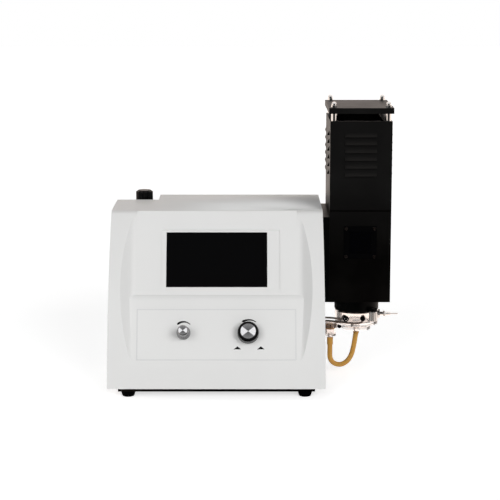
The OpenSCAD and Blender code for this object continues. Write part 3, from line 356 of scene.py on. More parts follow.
@dataclass(frozen=True)
class PowderCoat(Finish):
    """Black powder coat with its orange peel, painted shade that leaves it darker low down and
    paler higher up, and a painted shadow along its seam.
    """

    roughness: float = 0.42
    specular: float = 0.1
    reflection: Triple = (1.0, 0.88, 0.79)
    # heights in metres over which the painted shade turns from dark to pale
    painted_shade_z: Pair = (0.20, 0.33)
    # height of the seam between the sheets, and half the height of the painted shadow along it
    seam_z: float = 0.2777
    seam_shadow_h: float = 0.0008
    # shares of the colour for the dark and the pale ends of the painted shade
    dark: float = 0.4
    pale: float = 7.0
    painted_shade_share: float = 0.8
    peel: float = 620.0
    peel_depth: float = 0.00003
    grit: float = 2600.0
    grit_depth: float = 0.000012
    grit_width: float = 0.1
    rub: float = 24.0
    rub_edges: Pair = (0.42, 0.74)
    rub_dulls: float = 0.06

    def dress(self, sheet: NodeSheet) -> None:
        """Draws two scales of peel over a black that is paler where rubbed, darker low down and
        paler higher up as painted shade, with a painted shadow along the seam.

        Args:
            sheet: The sheet to draw on.
        """
        peel, grit = sheet.noise(self.peel), sheet.noise(self.grit)
        rubbed = sheet.noise(self.rub, detail=5.0).between(*self.rub_edges)
        height = sheet.axes()[2]
        off_seam = height - self.seam_z
        # painted shadow: within the seam's band the black is held at its darkest
        beyond_seam_shadow = (off_seam * off_seam).between(self.seam_shadow_h**2, (2 * self.seam_shadow_h) ** 2)
        # painted shade: darker low down and paler higher up, mixed with the real rubbed patches
        painted_shade_and_rubbing = height.between(*self.painted_shade_z) * self.painted_shade_share + rubbed * (1 - self.painted_shade_share)
        black, pale = shade(self.colour, self.dark), shade(self.colour, self.pale)
        sheet.surface(
            Base_Color=sheet.tint(beyond_seam_shadow * painted_shade_and_rubbing, black, pale),
            Roughness=self.roughness + grit.swing(self.grit_width) + rubbed * self.rub_dulls,
            Specular_IOR_Level=self.specular,
            Specular_Tint=opaque(self.reflection),
            Normal=sheet.bump(grit, self.grit_depth, sheet.bump(peel, self.peel_depth)),
        )


@dataclass(frozen=True)
class Polished(Finish):
    """Bright plated metal with faint smears."""

    roughness: float = 0.12
    dull: float = 0.94
    smear: float = 70.0
    smear_dulls: float = 0.08
    wear: float = 900.0
    wear_edges: Pair = (0.55, 0.8)
    wear_dulls: float = 0.08
    wear_depth: float = 0.000004

    def dress(self, sheet: NodeSheet) -> None:
        """Draws a metal whose roughness varies with smears and fine wear.

        Args:
            sheet: The sheet to draw on.
        """
        smear = sheet.noise(self.smear, detail=4.0)
        wear = sheet.noise(self.wear, detail=3.0)
        worn = wear.between(*self.wear_edges) * self.wear_dulls
        sheet.surface(
            Base_Color=sheet.tint(smear, shade(self.colour, self.dull), self.colour),
            Metallic=1.0,
            Roughness=self.roughness + smear * self.smear_dulls + worn,
            Normal=sheet.bump(wear, self.wear_depth),
        )


@dataclass(frozen=True)
class Brushed(Finish):
    """Plated or drawn metal with a lay of fine lines."""

    roughness: float = 0.3
    dull: float = 0.86
    line: float = 1.6
    lay: Triple = (40.0, 900.0, 900.0)
    line_width: float = 0.18
    line_depth: float = 0.00001
    cloud: float = 45.0
    cloud_dulls: float = 0.06

    def dress(self, sheet: NodeSheet) -> None:
        """Draws long fine lines along one axis and a cloudy plating.

        Args:
            sheet: The sheet to draw on.
        """
        lines = sheet.noise(self.line, 4.0, sheet.stretched(self.lay))
        cloud = sheet.noise(self.cloud, detail=4.0)
        sheet.surface(
            Base_Color=sheet.tint(cloud, shade(self.colour, self.dull), self.colour),
            Metallic=1.0,
            Roughness=self.roughness + lines.swing(self.line_width) + cloud * self.cloud_dulls,
            Normal=sheet.bump(lines, self.line_depth),
        )


@dataclass(frozen=True)
class Spun(Finish):
    """Aluminium with a face turned in fine circles; its two opposite bright sectors are a painted
    highlight, its darker sectors and grey sides painted shade.
    """

    hubs: tuple[Pair, Pair]
    hub_yz: Pair
    lean: float = 22.109
    roughness: float = 0.26
    highlight_sector_edges: Pair = (0.54, 0.70)
    rim_edges: Pair = (1.0, 1.05)
    # greys of the painted shade at the hub, at the face's rim and on the knob's sides
    hub_painted_shade: float = 0.10
    rim_painted_shade: float = 0.26
    side_painted_shade: float = 0.34
    grain: float = 3000.0
    grain_width: float = 0.1

    def dress(self, sheet: NodeSheet) -> None:
        """Draws a painted highlight in the sectors beside each hub, painted shade in the sectors
        above and below, and painted shade as a darker grey on the sides.

        Args:
            sheet: The sheet to draw on.
        """
        x, y, z = sheet.axes()
        (left, small), (right, large) = self.hubs
        side = x.above((left + right) / 2)
        across = x - (left + side * (right - left))
        tilt = math.radians(self.lean)
        hub_y, hub_z = self.hub_yz
        along = (y - hub_y) * math.sin(tilt) + (z - hub_z) * math.cos(tilt)
        flat = across * across
        radius = (flat + along * along).power(0.5)
        ratio = radius / (small + side * (large - small))
        # painted highlight: the sectors beside the hub are painted bright, as if the grooves caught
        # the lamps
        painted_highlight = (flat / (radius * radius + TINY)).between(*self.highlight_sector_edges)
        near = 1.0 - ratio.between(*self.rim_edges)
        # painted shade: the sectors above and below darken towards the hub, and the sides beyond
        # the face take a darker grey
        hub, rim, plain = (
            shade(self.colour, grey) for grey in (self.hub_painted_shade, self.rim_painted_shade, self.side_painted_shade)
        )
        face = sheet.tint(painted_highlight, sheet.tint(ratio.between(0.0, 1.0), hub, rim), self.colour)
        sheet.surface(
            Base_Color=sheet.tint(near, plain, face),
            Metallic=1.0,
            Roughness=self.roughness + sheet.noise(self.grain).swing(self.grain_width),
        )


@dataclass(frozen=True)
class ClearMoulding(Finish):
    """Clear plastic or glass with faint flow marks."""

    roughness: float = 0.06
    ior: float = 1.49
    specular: float = 0.5
    dull: float = 0.95
    flow: float = 160.0
    flow_stretch: Triple = (1.0, 1.0, 2.5)
    flow_edges: Pair = (0.5, 0.8)
    flow_dulls: float = 0.08
    flow_depth: float = 0.00006

    def dress(self, sheet: NodeSheet) -> None:
        """Draws a transmitting body with slightly uneven faces.

        Args:
            sheet: The sheet to draw on.
        """
        flow = sheet.noise(self.flow, 3.0, sheet.stretched(self.flow_stretch))
        sheet.surface(
            Base_Color=sheet.tint(flow, shade(self.colour, self.dull), self.colour),
            Roughness=self.roughness + flow.between(*self.flow_edges) * self.flow_dulls,
            IOR=self.ior,
            Specular_IOR_Level=self.specular,
            Transmission_Weight=1.0,
            Normal=sheet.bump(flow, self.flow_depth),
        )


@dataclass(frozen=True)
class Latex(Finish):
    """Amber latex hose: waxy, slightly translucent, with drawn streaks and blotches."""

    roughness: float = 0.34
    dark: float = 0.8
    pale: float = 1.14
    streak: float = 220.0
    streak_stretch: Triple = (1.0, 1.0, 0.12)
    streak_share: float = 0.6
    streak_depth: float = 0.00004
    blotch: float = 60.0
    blotch_width: float = 0.16
    soak: float = 0.25
    soak_radius: Triple = (0.004, 0.002, 0.0006)

    def dress(self, sheet: NodeSheet) -> None:
        """Draws the hose's streaks and its soft skin.

        Args:
            sheet: The sheet to draw on.
        """
        streak = sheet.noise(self.streak, 3.0, sheet.stretched(self.streak_stretch))
        blotch = sheet.noise(self.blotch, detail=4.0)
        mixed = streak * self.streak_share + blotch * (1 - self.streak_share)
        dark, pale = shade(self.colour, self.dark), shade(self.colour, self.pale)
        sheet.surface(
            Base_Color=sheet.tint(mixed, dark, pale),
            Roughness=self.roughness + blotch.swing(self.blotch_width),
            Subsurface_Weight=self.soak,
            Subsurface_Radius=self.soak_radius,
            Subsurface_Scale=1.0,
            Normal=sheet.bump(streak, self.streak_depth),
        )


FINISHES: dict[str, Finish] = {
    finish.slot: finish
    for finish in (
        Moulded("cover_white", (0.735, 0.735, 0.728), 0.44, drift=0.012, specular=0.3),
        Brushed("zinc_steel", (0.62, 0.63, 0.64)),
        PowderCoat("black_sheet", (0.0009, 0.0009, 0.0009), specular=0.12),
        Moulded("pale_sheet", (0.66, 0.66, 0.65), 0.38, grain=900.0, depth=0.00003),
        Moulded("black_rubber", (0.0014, 0.0014, 0.0015), 0.7, depth=0.00004, specular=0.01),
        Moulded("display_black", (0.0014, 0.0014, 0.0016), 0.12, depth=0.0, specular=0.02),
        Moulded("dark_plastic", (0.0016, 0.0016, 0.0018), 0.26, specular=0.12),
        Moulded("label_white", (0.74, 0.74, 0.733), 0.36, 2400.0, drift=0.008, specular=0.3),
        Polished("brass", (0.72, 0.52, 0.24), 0.25),
        Polished("bright_nickel", (0.80, 0.79, 0.78), 0.06),
        Moulded("board_green", (0.02, 0.14, 0.05), 0.3, 700.0, drift=0.25),
        Moulded("black_anodised", (0.0012, 0.0013, 0.0013), 0.4, 2200.0, specular=0.05),
        ClearMoulding("clear_glass", (0.95, 0.97, 0.97), 0.0),
        Moulded("cast_grey", (0.50, 0.51, 0.52), 0.45, 500.0, depth=0.00006, drift=0.05),
        ClearMoulding("clear_plastic", (0.85, 0.81, 0.79), 0.05),
        ClearMoulding("blue_glass", (0.004, 0.005, 0.02), 0.02, ior=1.45, specular=0.03),
        Moulded("ceramic", (0.72, 0.69, 0.60), 0.3, 800.0, drift=0.06),
        Brushed("steel_line", (0.16, 0.13, 0.115), 0.22),
        Latex("amber_latex", (0.62, 0.325, 0.062)),
        # the knobs' faces carry a painted highlight and painted shade
        Spun(
            "spun_aluminium",
            (0.93, 0.93, 0.95),
            hubs=((-0.111373, 0.0066), (-0.012073, 0.0114)),
            hub_yz=(-0.126479, 0.09962),
        ),
        Moulded("red_plastic", (0.45, 0.02, 0.015), 0.25),
    )
}


def coat(data: Union[bpy.types.Mesh, bpy.types.Curve], slot: str) -> None:
    """Gives a mesh or a curve the finish of a slot as its only material."""
    data.materials.clear()
    data.materials.append(FINISHES[slot].material())


# ---- mesh work ----
class Mould:
    """A bmesh under work, in millimetres until it is placed in metres of the row frame."""

    TURNED_MERGE, TURNED_SLIVER = 0.0005, 0.0001
    CAD_MERGE, CAD_SLIVER, CAD_FLAT = 2e-6, 1e-6, math.radians(0.6)
    NORMAL_WEIGHT = 100

    def __init__(self) -> None:
        """Starts an empty mesh."""
        self.bm = bmesh.new()

    def turned(self, profile: Profile, steps: int = 48, closed: bool = True) -> "Mould":
        """Turns an outline about Z.

        Args:
            profile: Radius and height of each point, in millimetres.
            steps: Steps of the full turn.
            closed: True if the last point joins the first.

        Returns:
            This mould.
        """
        points = [self.bm.verts.new((max(r, 0.0), 0.0, z)) for r, z in profile]
        pairs = list(zip(points, points[1:])) + ([(points[-1], points[0])] if closed else [])
        lines = [self.bm.edges.new(pair) for pair in pairs]
        bmesh.ops.spin(
            self.bm, geom=points + lines, cent=ORIGIN, axis=(0.0, 0.0, 1.0), angle=2 * math.pi,
            steps=steps, use_merge=True, use_duplicate=False,
        )
        bmesh.ops.remove_doubles(self.bm, verts=self.bm.verts, dist=self.TURNED_MERGE)
        bmesh.ops.dissolve_degenerate(self.bm, dist=self.TURNED_SLIVER, edges=self.bm.edges)
        return self.outward()

    def block(self, size: Triple, centre: Triple = ORIGIN, edge: float = 0.0) -> "Mould":
        """Adds a box.

        Args:
            size: Its three sizes in millimetres.
            centre: Its middle.
            edge: Rounding of its edges.

        Returns:
            This mould.
        """
        place = Matrix.Translation(Vector(centre)) @ Matrix.Diagonal((*size, 1.0))
        made = bmesh.ops.create_cube(self.bm, size=1.0, matrix=place)
        if edge > 0:
            self.round_edges(list({e for v in made["verts"] for e in v.link_edges}), edge)
        return self

    def rod(self, radius: float, length: float, z: float = 0.0, sides: int = 24) -> "Mould":
        """Adds a cylinder about Z.

        Args:
            radius: Its radius in millimetres.
            length: Its height.
            z: Height of its underside.
            sides: Faces round it.

        Returns:
            This mould.
        """
        bmesh.ops.create_cone(
            self.bm, cap_ends=True, segments=sides, radius1=radius, radius2=radius, depth=length,
            matrix=Matrix.Translation((0.0, 0.0, z + length / 2)),
        )
        return self

    def outline(self, points: Sequence[Pair], height: float, base: float = 0.0) -> "Mould":
        """Raises a flat outline into a plate.

        Args:
            points: The outline's corners.
            height: The plate's thickness.
            base: Height of its underside.

        Returns:
            This mould.
        """
        face = self.bm.faces.new([self.bm.verts.new((x, y, base)) for x, y in points])
        raised = bmesh.ops.extrude_face_region(self.bm, geom=[face])
        tops = [g for g in raised["geom"] if isinstance(g, bmesh.types.BMVert)]
        bmesh.ops.translate(self.bm, verts=tops, vec=(0.0, 0.0, height))
        return self.outward()

    def fluted(
        self, inner: float, heights: Pair, depth: float, wave: Callable[[float], float]
    ) -> "Mould":
        """Presses flutes into the outside of a turned piece.

        Args:
            inner: Only what is further out than this radius is pressed.
            heights: Only what stands between these two heights is pressed.
            depth: The flutes' depth as a share of the radius.
            wave: Gives the press, from 0 to 1, for an angle about Z in radians.

        Returns:
            This mould.
        """
        for vert in self.bm.verts:
            x, y, z = vert.co
            if math.hypot(x, y) > inner and heights[0] < z < heights[1]:
                pressed = 1 - depth * wave(math.atan2(y, x))
                vert.co.x, vert.co.y = x * pressed, y * pressed
        return self

    def joined(self, other: "Mould") -> "Mould":
        """Takes another mould's mesh over.

        Args:
            other: The other mould, which is used up.

        Returns:
            This mould.
        """
        spare = bpy.data.meshes.new("spare")
        other.bm.to_mesh(spare)
        other.bm.free()
        self.bm.from_mesh(spare)
        bpy.data.meshes.remove(spare)
        return self

    def from_node(self, name: str) -> "Mould":
        """Starts from a merged copy of a CAD node, with its flat faces whole again.

        Args:
            name: The node.

        Returns:
            This mould, in metres.
        """
        self.bm.from_mesh(bpy.data.objects[name].data)
        bmesh.ops.remove_doubles(self.bm, verts=self.bm.verts, dist=self.CAD_MERGE)
        bmesh.ops.dissolve_degenerate(self.bm, dist=self.CAD_SLIVER, edges=self.bm.edges)
        bmesh.ops.dissolve_limit(
            self.bm, angle_limit=self.CAD_FLAT, use_dissolve_boundaries=False,
            verts=self.bm.verts, edges=self.bm.edges,
        )
        return self

    def round_edges(
        self, edges: list[bmesh.types.BMEdge], width: float, segments: int = 2
    ) -> "Mould":
        """Rounds edges.

        Args:
            edges: The edges.
            width: The rounding's width in the mesh's units.
            segments: Its steps.

        Returns:
            This mould.
        """
        bmesh.ops.bevel(
            self.bm, geom=edges, offset=width, offset_type="OFFSET", segments=segments,
            profile=0.5, affect="EDGES", clamp_overlap=True, material=-1,
        )
        return self

    def round_sharp(self, width: float, crease: float = 30.0) -> "Mould":
        """Rounds every edge sharper than an angle.

        Args:
            width: The rounding's width in the mesh's units.
            crease: The least angle between the faces, in degrees.

        Returns:
            This mould.
        """
        limit = math.radians(crease)
        sharp = [e for e in self.bm.edges if e.is_manifold and e.calc_face_angle(0.0) > limit]
        return self.round_edges(sharp, width)

    def outward(self) -> "Mould":
        """Turns every face outwards."""
        bmesh.ops.recalc_face_normals(self.bm, faces=self.bm.faces)
        return self

    def placed(self, *places: Matrix) -> "Mould":
        """Moves the mesh, or repeats it at several places.

        Args:
            places: The transforms.

        Returns:
            This mould.
        """
        source = list(self.bm.verts) + list(self.bm.edges) + list(self.bm.faces)
        copies = [bmesh.ops.duplicate(self.bm, geom=source)["geom"] for _ in places[1:]]
        for geometry, place in zip([source, *copies], places):
            verts = [g for g in geometry if isinstance(g, bmesh.types.BMVert)]
            bmesh.ops.transform(self.bm, matrix=place, verts=verts)
        return self

    def finished(
        self,
        name: str,
        slot: str,
        body: str = "root",
        replaces: Iterable[str] = (),
        smooth: float = 35.0,
    ) -> bpy.types.Object:
        """Turns the mesh into a piece that rides on a body.

        Args:
            name: The piece's name.
            slot: The record's slot that it takes its finish from.
            body: The body that it rides on.
            replaces: The CAD nodes that it stands for.
            smooth: Faces that meet at less than this angle shade as one, in degrees.

        Returns:
            The piece.
        """
        mesh = bpy.data.meshes.new(name)
        self.bm.normal_update()
        self.bm.to_mesh(mesh)
        self.bm.free()
        coat(mesh, slot)
        for polygon in mesh.polygons:
            polygon.material_index = 0
            polygon.use_smooth = True
        mesh.set_sharp_from_angle(angle=math.radians(smooth))
        piece = linked(name, mesh)
        weigh = piece.modifiers.new("even_normals", "WEIGHTED_NORMAL")
        weigh.keep_sharp = True
        weigh.weight = self.NORMAL_WEIGHT
        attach(piece, body)
        nodes = tuple(replaces)
        if nodes:
            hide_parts(*nodes)
        log.info("%s rides on %s", name, body)
        return piece


@dataclass
class SubAssembly:
    """A group of pieces that is built together.

    Each row of `roundings` holds what `soften` takes, and `kept` names the nodes that `keep` takes.
    """

    frame: dict[str, Any]
    roundings: Roundings = ()
    kept: Names = ()

    def build(self) -> None:
        """Softens or keeps the group's CAD nodes."""
        for rounding in self.roundings:
            self.soften(*rounding)
        self.keep(*self.kept)

    def body_of(self, node: str) -> str:
        """Gives the body that a CAD node belongs to."""
        return self.frame["nodes"][node]["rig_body"]

    def slot_of(self, node: str) -> str:
        """Gives the record's slot of a CAD node."""
        parts = self.frame["record"]["subparts"]
        return next(part["material_slot"] for part in parts if part["node"] == node)

    def keep(self, *nodes: str) -> None:
        """Gives CAD nodes whose shape is right their finish.

        Args:
            nodes: Their names.
        """
        for node in nodes:
            coat(self.frame["nodes"][node].data, self.slot_of(node))
            log.info("%s keeps its CAD shape", node)

    def soften(
        self,
        node: str,
        width: float,
        slot: Optional[str] = None,
        crease: float = 30.0,
        smooth: float = 35.0,
    ) -> None:
        """Replaces a CAD node by its merged copy with rounded edges.

        Args:
            node: The node.
            width: The rounding in millimetres.
            slot: A slot other than the node's own.
            crease: Edges sharper than this are rounded, in degrees.
            smooth: Faces that meet at less than this angle shade as one.
        """
        mould = Mould().from_node(node).round_sharp(width * MM, crease)
        slot = slot or self.slot_of(node)
        mould.finished(node + "_dressed", slot, self.body_of(node), (node,), smooth)


# ---- case ----
@dataclass
class CaseShell(SubAssembly):
    """The moulded cover with its base, feet, chassis and rear panel."""

    roundings: Roundings = (
        ("case_cover", 0.9, None, 24.0, 22.0), ("base_pan", 0.3), ("chassis_plate", 0.15),
        ("rear_panel", 0.3), ("case_screws", 0.15),
    )
    foot_x: Pair = (-136.55, 136.55)
    foot_y: Pair = (25.0, 249.0)
    foot_outline: Profile = (
        (2.5, 4.2), (4.6, 4.0), (4.6, 0.4), (5.0, 0.0), (7.9, 0.0), (8.7, 0.3), (9.2, 0.9),
        (9.7, 2.0), (10.1, 3.2), (9.9, 3.6), (10.2, 4.0), (11.0, 6.2), (11.5, 7.8), (11.6, 8.4),
        (11.6, 9.5), (2.5, 9.5),
    )

    def build(self) -> None:
        """Rounds the cover's and the sheet parts' edges and turns the feet."""
        super().build()
        self.feet()

    def feet(self) -> None:
        """Turns the four tapered rubber feet with their ribs and screw wells."""
        places = [standing((x, y, 0.0), Axis.UP) for y in self.foot_y for x in self.foot_x]
        feet = Mould().turned(self.foot_outline, steps=40).placed(*places)
        feet.finished("rubber_feet", "black_rubber", replaces=("feet",))


# ---- front panel ----
@dataclass
class FrontPanel(SubAssembly):
    """The display and the control label with its printed lines and marks."""

    roundings: Roundings = (("control_label", 0.12),)
    kept: Names = ("display_module",)
    foot_y: float = 5.227
    foot_z: float = 57.0
    panel_lean: float = 24.0
    face_lean: float = 22.109
    screen: Triple = (156.2, 87.0, 2.0)
    screen_s: float = 119.0
    screen_out: float = -1.8
    screen_corner: float = 2.2
    screen_steps: int = 5
    screen_rim: float = 0.25
    label: Pair = (245.6, 79.9)
    label_s: float = 3.7
    label_out: float = 0.5
    ink: float = 0.03
    borders: tuple[Pair, ...] = ((0.35, 0.42), (1.5, 0.22))
    arcs: tuple[tuple[float, ...], ...] = ((-50.25, 49.6, 13.9, 46.0), (50.0, 46.4, 20.1, 32.0))
    arc_steps: int = 18
    arc_thick: float = 3.8
    arc_thins: float = 0.36
    arc_tip: Pair = (0.5, 0.25)
    triangle_x: Pair = (32.3, 68.2)
    triangle_s: Pair = (20.7, 25.6)
    triangle_half: float = 5.9

    def leaning(self, lean: float, s: float, out: float) -> Matrix:
        """Makes a transform onto the panel or the control face.

        Args:
            lean: The surface's lean in degrees.
            s: Distance up the surface.
            out: Distance out of it.

        Returns:
            The transform: x to the right, y up the surface, z out of it.
        """
        tilt = math.radians(lean)
        y = self.foot_y + s * math.sin(tilt) - out * math.cos(tilt)
        z = self.foot_z + s * math.cos(tilt) + out * math.sin(tilt)
        turned = Matrix.Rotation(math.radians(90.0 - lean), 4, "X")
        return Matrix.Translation(at(0.0, y, z)) @ turned @ Matrix.Scale(MM, 4)

    def build(self) -> None:
        """Builds the display's glass and the printed label."""
        super().build()
        self.display()
        self.borderlines()
        self.marks()

    def display(self) -> None:
        """Makes the display's glass with rounded corners and a softened rim."""
        half = self.screen[2] / 2
        glass = Mould().block(self.screen, (0.0, self.screen[1] / 2, 0.0))
        upright = [e for e in glass.bm.edges if abs(e.verts[0].co.z - e.verts[1].co.z) > half]
        glass.round_edges(upright, self.screen_corner, self.screen_steps)
        rim = [e for e in glass.bm.edges if all(v.co.z > half - NEAR for v in e.verts)]
        glass.round_edges(rim, self.screen_rim)
        glass.placed(self.leaning(self.panel_lean, self.screen_s, self.screen_out))
        glass.finished("display_pane", "display_black", replaces=("display_glass",))

    def borderlines(self) -> None:
        """Prints the label's double border."""
        lines = Mould()
        for inset, thick in self.borders:
            width, height = (size - 2 * inset for size in self.label)
            middle = self.label_s + inset + height / 2
            for side in (-0.5, 0.5):
                over = (0.0, middle + side * (height - thick), self.ink / 2)
                beside = (side * (width - thick), middle, self.ink / 2)
                lines.block((width, thick, self.ink), over)
                lines.block((thick, height - 2 * thick, self.ink), beside)
        lines.placed(self.leaning(self.face_lean, 0.0, self.label_out))
        lines.finished("label_border", "cast_grey")

    def marks(self) -> None:
        """Prints the turning arrows and the two triangles."""
        marks = Mould()
        for arc in self.arcs:
            self.turning_arc(marks, *arc)
        low, high = self.triangle_s
        for x in self.triangle_x:
            corners = [(x - self.triangle_half, low), (x + self.triangle_half, low), (x, high)]
            marks.outline(corners, self.ink)
        marks.placed(self.leaning(self.face_lean, 0.0, self.label_out))
        marks.finished("label_marks", "dark_plastic")

    def turning_arc(self, mould: Mould, x: float, s: float, reach: float, span: float) -> None:
        """Adds an arc over a knob that is thick at its left end and thins out to the right.

        Args:
            mould: The mesh to add to.
            x: The arc's centre across the label.
            s: The arc's centre up the label.
            reach: The arc's radius.
            span: Degrees from its middle to each end.
        """
        rims: tuple[list[Pair], list[Pair]] = ([], [])
        tip, growth = self.arc_tip
        for i in range(self.arc_steps + 1):
            along = i / self.arc_steps
            angle = math.radians(90.0 + span - 2.0 * span * along)
            half = self.arc_thick * (0.5 - self.arc_thins * along) * min(1.0, tip + growth * i)
            for rim, radius in zip(rims, (reach + half, reach - half)):
                rim.append((x + radius * math.cos(angle), s + radius * math.sin(angle)))
        mould.outline(rims[0] + rims[1][::-1], self.ink)


@dataclass
class ValveControls(SubAssembly):
    """Both valves with their nuts, spindles and knobs."""

    gas: Triple = (48.8, 22.54, 99.62)
    gas_r: float = 16.8
    gas_h: float = 17.0
    gas_hub_r: float = 8.4
    gas_bore_top: float = 13.0
    flutes: int = 36
    flute_reach: float = 1.3
    flute_top: float = 0.5
    flute_depth: float = 0.03
    fine: Triple = (-50.5, 22.54, 99.62)
    fine_r: float = 10.6
    fine_h: float = 28.0
    fine_hub_r: float = 8.0
    fine_bore_top: float = 16.0
    hub_h: float = 5.0
    bore_r: float = 3.02
    steps: int = 96
    flute_steps: int = 4
    groove: float = 0.55
    groove_depth: float = 0.035
    groove_end: float = 0.4
    smooth_gas: float = 40.0
    smooth_spun: float = 50.0
    roundings: Roundings = (
        ("gas_valve", 0.3), ("fine_valve", 0.3), ("panel_nuts", 0.25),
    )
    kept: Names = ("gas_spindle", "fine_spindle")

    def build(self) -> None:
        """Builds the knobs and dresses what is behind the face."""
        super().build()
        self.gas_knob()
        self.gas_cap()
        self.fine_knob()

    def spun_face(self, outer: float, top: float) -> list[Pair]:
        """Gives the outline of a turned face with its fine grooves, from the rim to the middle.

        Args:
            outer: Radius of the first groove.
            top: Height of the face.

        Returns:
            Radius and height of each point.
        """
        step = self.groove / 2
        count = int((outer - self.groove_end) / step)
        cuts = (0.0, self.groove_depth)
        return [(outer - i * step, top - cuts[i % 2]) for i in range(count)] + [(0.0, top)]

    def gas_knob(self) -> None:
        """Turns the gas knob's fluted black body."""
        r, h, hub_r, bore_r = self.gas_r, self.gas_h, self.gas_hub_r, self.bore_r
        body = Mould().turned(
            [
                (hub_r, self.hub_h), (hub_r, 1.0), (r - 0.5, 1.0), (r, 1.5), (r - 0.75, h - 0.7),
                (r - 1.1, h + 0.35), (r - 2.0, h + 0.95), (r - 2.5, h + 1.0), (r - 2.5, h + 1.75),
                (r - 2.8, h + 2.0), (r - 4.95, h + 2.0), (r - 4.95, h + 1.1), (0.0, h + 1.1),
                (0.0, self.gas_bore_top), (bore_r, self.gas_bore_top), (bore_r, self.hub_h),
            ],
            self.flutes * self.flute_steps,
        )
        body.fluted(
            r - self.flute_reach, (0.0, h + self.flute_top), self.flute_depth,
            lambda angle: 0.5 + 0.5 * math.cos(self.flutes * angle),
        )
        body.placed(standing(self.gas, Axis.FACE))
        replaced = ("gas_knob",)
        body.finished("gas_knob_body", "dark_plastic", "gas_knob", replaced, self.smooth_gas)

    def gas_cap(self) -> None:
        """Turns the gas knob's spun aluminium cap."""
        r, h = self.gas_r, self.gas_h
        rim = [(0.0, h + 1.15), (r - 5.0, h + 1.15), (r - 5.0, h + 2.9), (r - 5.3, h + 3.2)]
        cap = Mould().turned(rim + self.spun_face(r - 5.6, h + 3.2), self.steps, closed=False)
        cap.placed(standing(self.gas, Axis.FACE))
        replaced = ("gas_knob_cap",)
        cap.finished("gas_knob_disc", "spun_aluminium", "gas_knob", replaced, self.smooth_spun)

    def fine_knob(self) -> None:
        """Turns the aluminium fine knob with its collar and spun face."""
        r, h, hub_r, bore_r = self.fine_r, self.fine_h, self.fine_hub_r, self.bore_r
        outline = [
            (hub_r, 1.0), (r - 0.3, 1.0), (r, 1.3), (r, 4.7), (r - 0.2, 5.0), (r - 2.2, 7.9),
            (r - 2.4, 8.4), (r - 2.4, h - 0.4), (r - 2.7, h + 0.2), (r - 3.5, h + 0.95),
            (r - 3.8, h + 1.0),
        ]
        top, foot = self.fine_bore_top, self.hub_h
        hollow = [(0.0, top), (bore_r, top), (bore_r, foot), (hub_r, foot)]
        knob = Mould().turned(outline + self.spun_face(r - 4.1, h + 1.0) + hollow, self.steps)
        knob.placed(standing(self.fine, Axis.FACE))
        replaced = ("fine_knob",)
        knob.finished("fine_knob_turned", "spun_aluminium", "fine_knob", replaced, self.smooth_spun)


@dataclass
class Interior(SubAssembly):
    """What stands inside the closed case."""

    roundings: Roundings = (("optics_block", 0.4), ("lens", 0.05))
    kept: Names = ("main_board", "power_supply", "colour_filters", "detectors")


# ---- rear ----
@dataclass
class RearConnectors(SubAssembly):
    """The mains inlet, the switch, the serial port and the gas tail."""

    rear_y: float = 277.0
    inlet: Pair = (118.0, 62.0)
    blade: Triple = (2.0, 4.0, 14.0)
    blade_edge: float = 0.4
    blade_middles: tuple[Triple, ...] = ((-7.0, 2.0, -8.0), (7.0, 2.0, -8.0), (0.0, -2.0, -8.0))
    switch: Pair = (80.0, 62.0)
    rocker_out: float = 2.6
    line: Triple = (0.5, 2.6, 0.3)
    line_middle: Triple = (0.0, 4.6, -0.4)
    roundings: Roundings = (
        ("power_inlet", 0.3), ("switch_housing", 0.3), ("gas_inlet", 0.3), ("fuse_drawer", 0.3),
        ("serial_port", 0.3), ("switch_rocker", 0.3),
    )

    def build(self) -> None:
        """Rounds the connectors and adds the inlet's blades and the rocker's mark."""
        super().build()
        self.blades()
        self.rocker_line()

    def blades(self) -> None:
        """Adds the three flat blades in the inlet's well."""
        blades = Mould()
        for middle in self.blade_middles:
            blades.block(self.blade, middle, self.blade_edge)
        x, z = self.inlet
        blades.placed(standing((x, self.rear_y, z), Axis.REAR))
        blades.finished("inlet_blades", "bright_nickel")

    def rocker_line(self) -> None:
        """Adds the plain line at the rocker's on side."""
        x, z = self.switch
        line = Mould().block(self.line, self.line_middle)
        line.placed(standing((x, self.rear_y + self.rocker_out, z), Axis.REAR))
        line.finished("rocker_line", "label_white", "power_rocker")


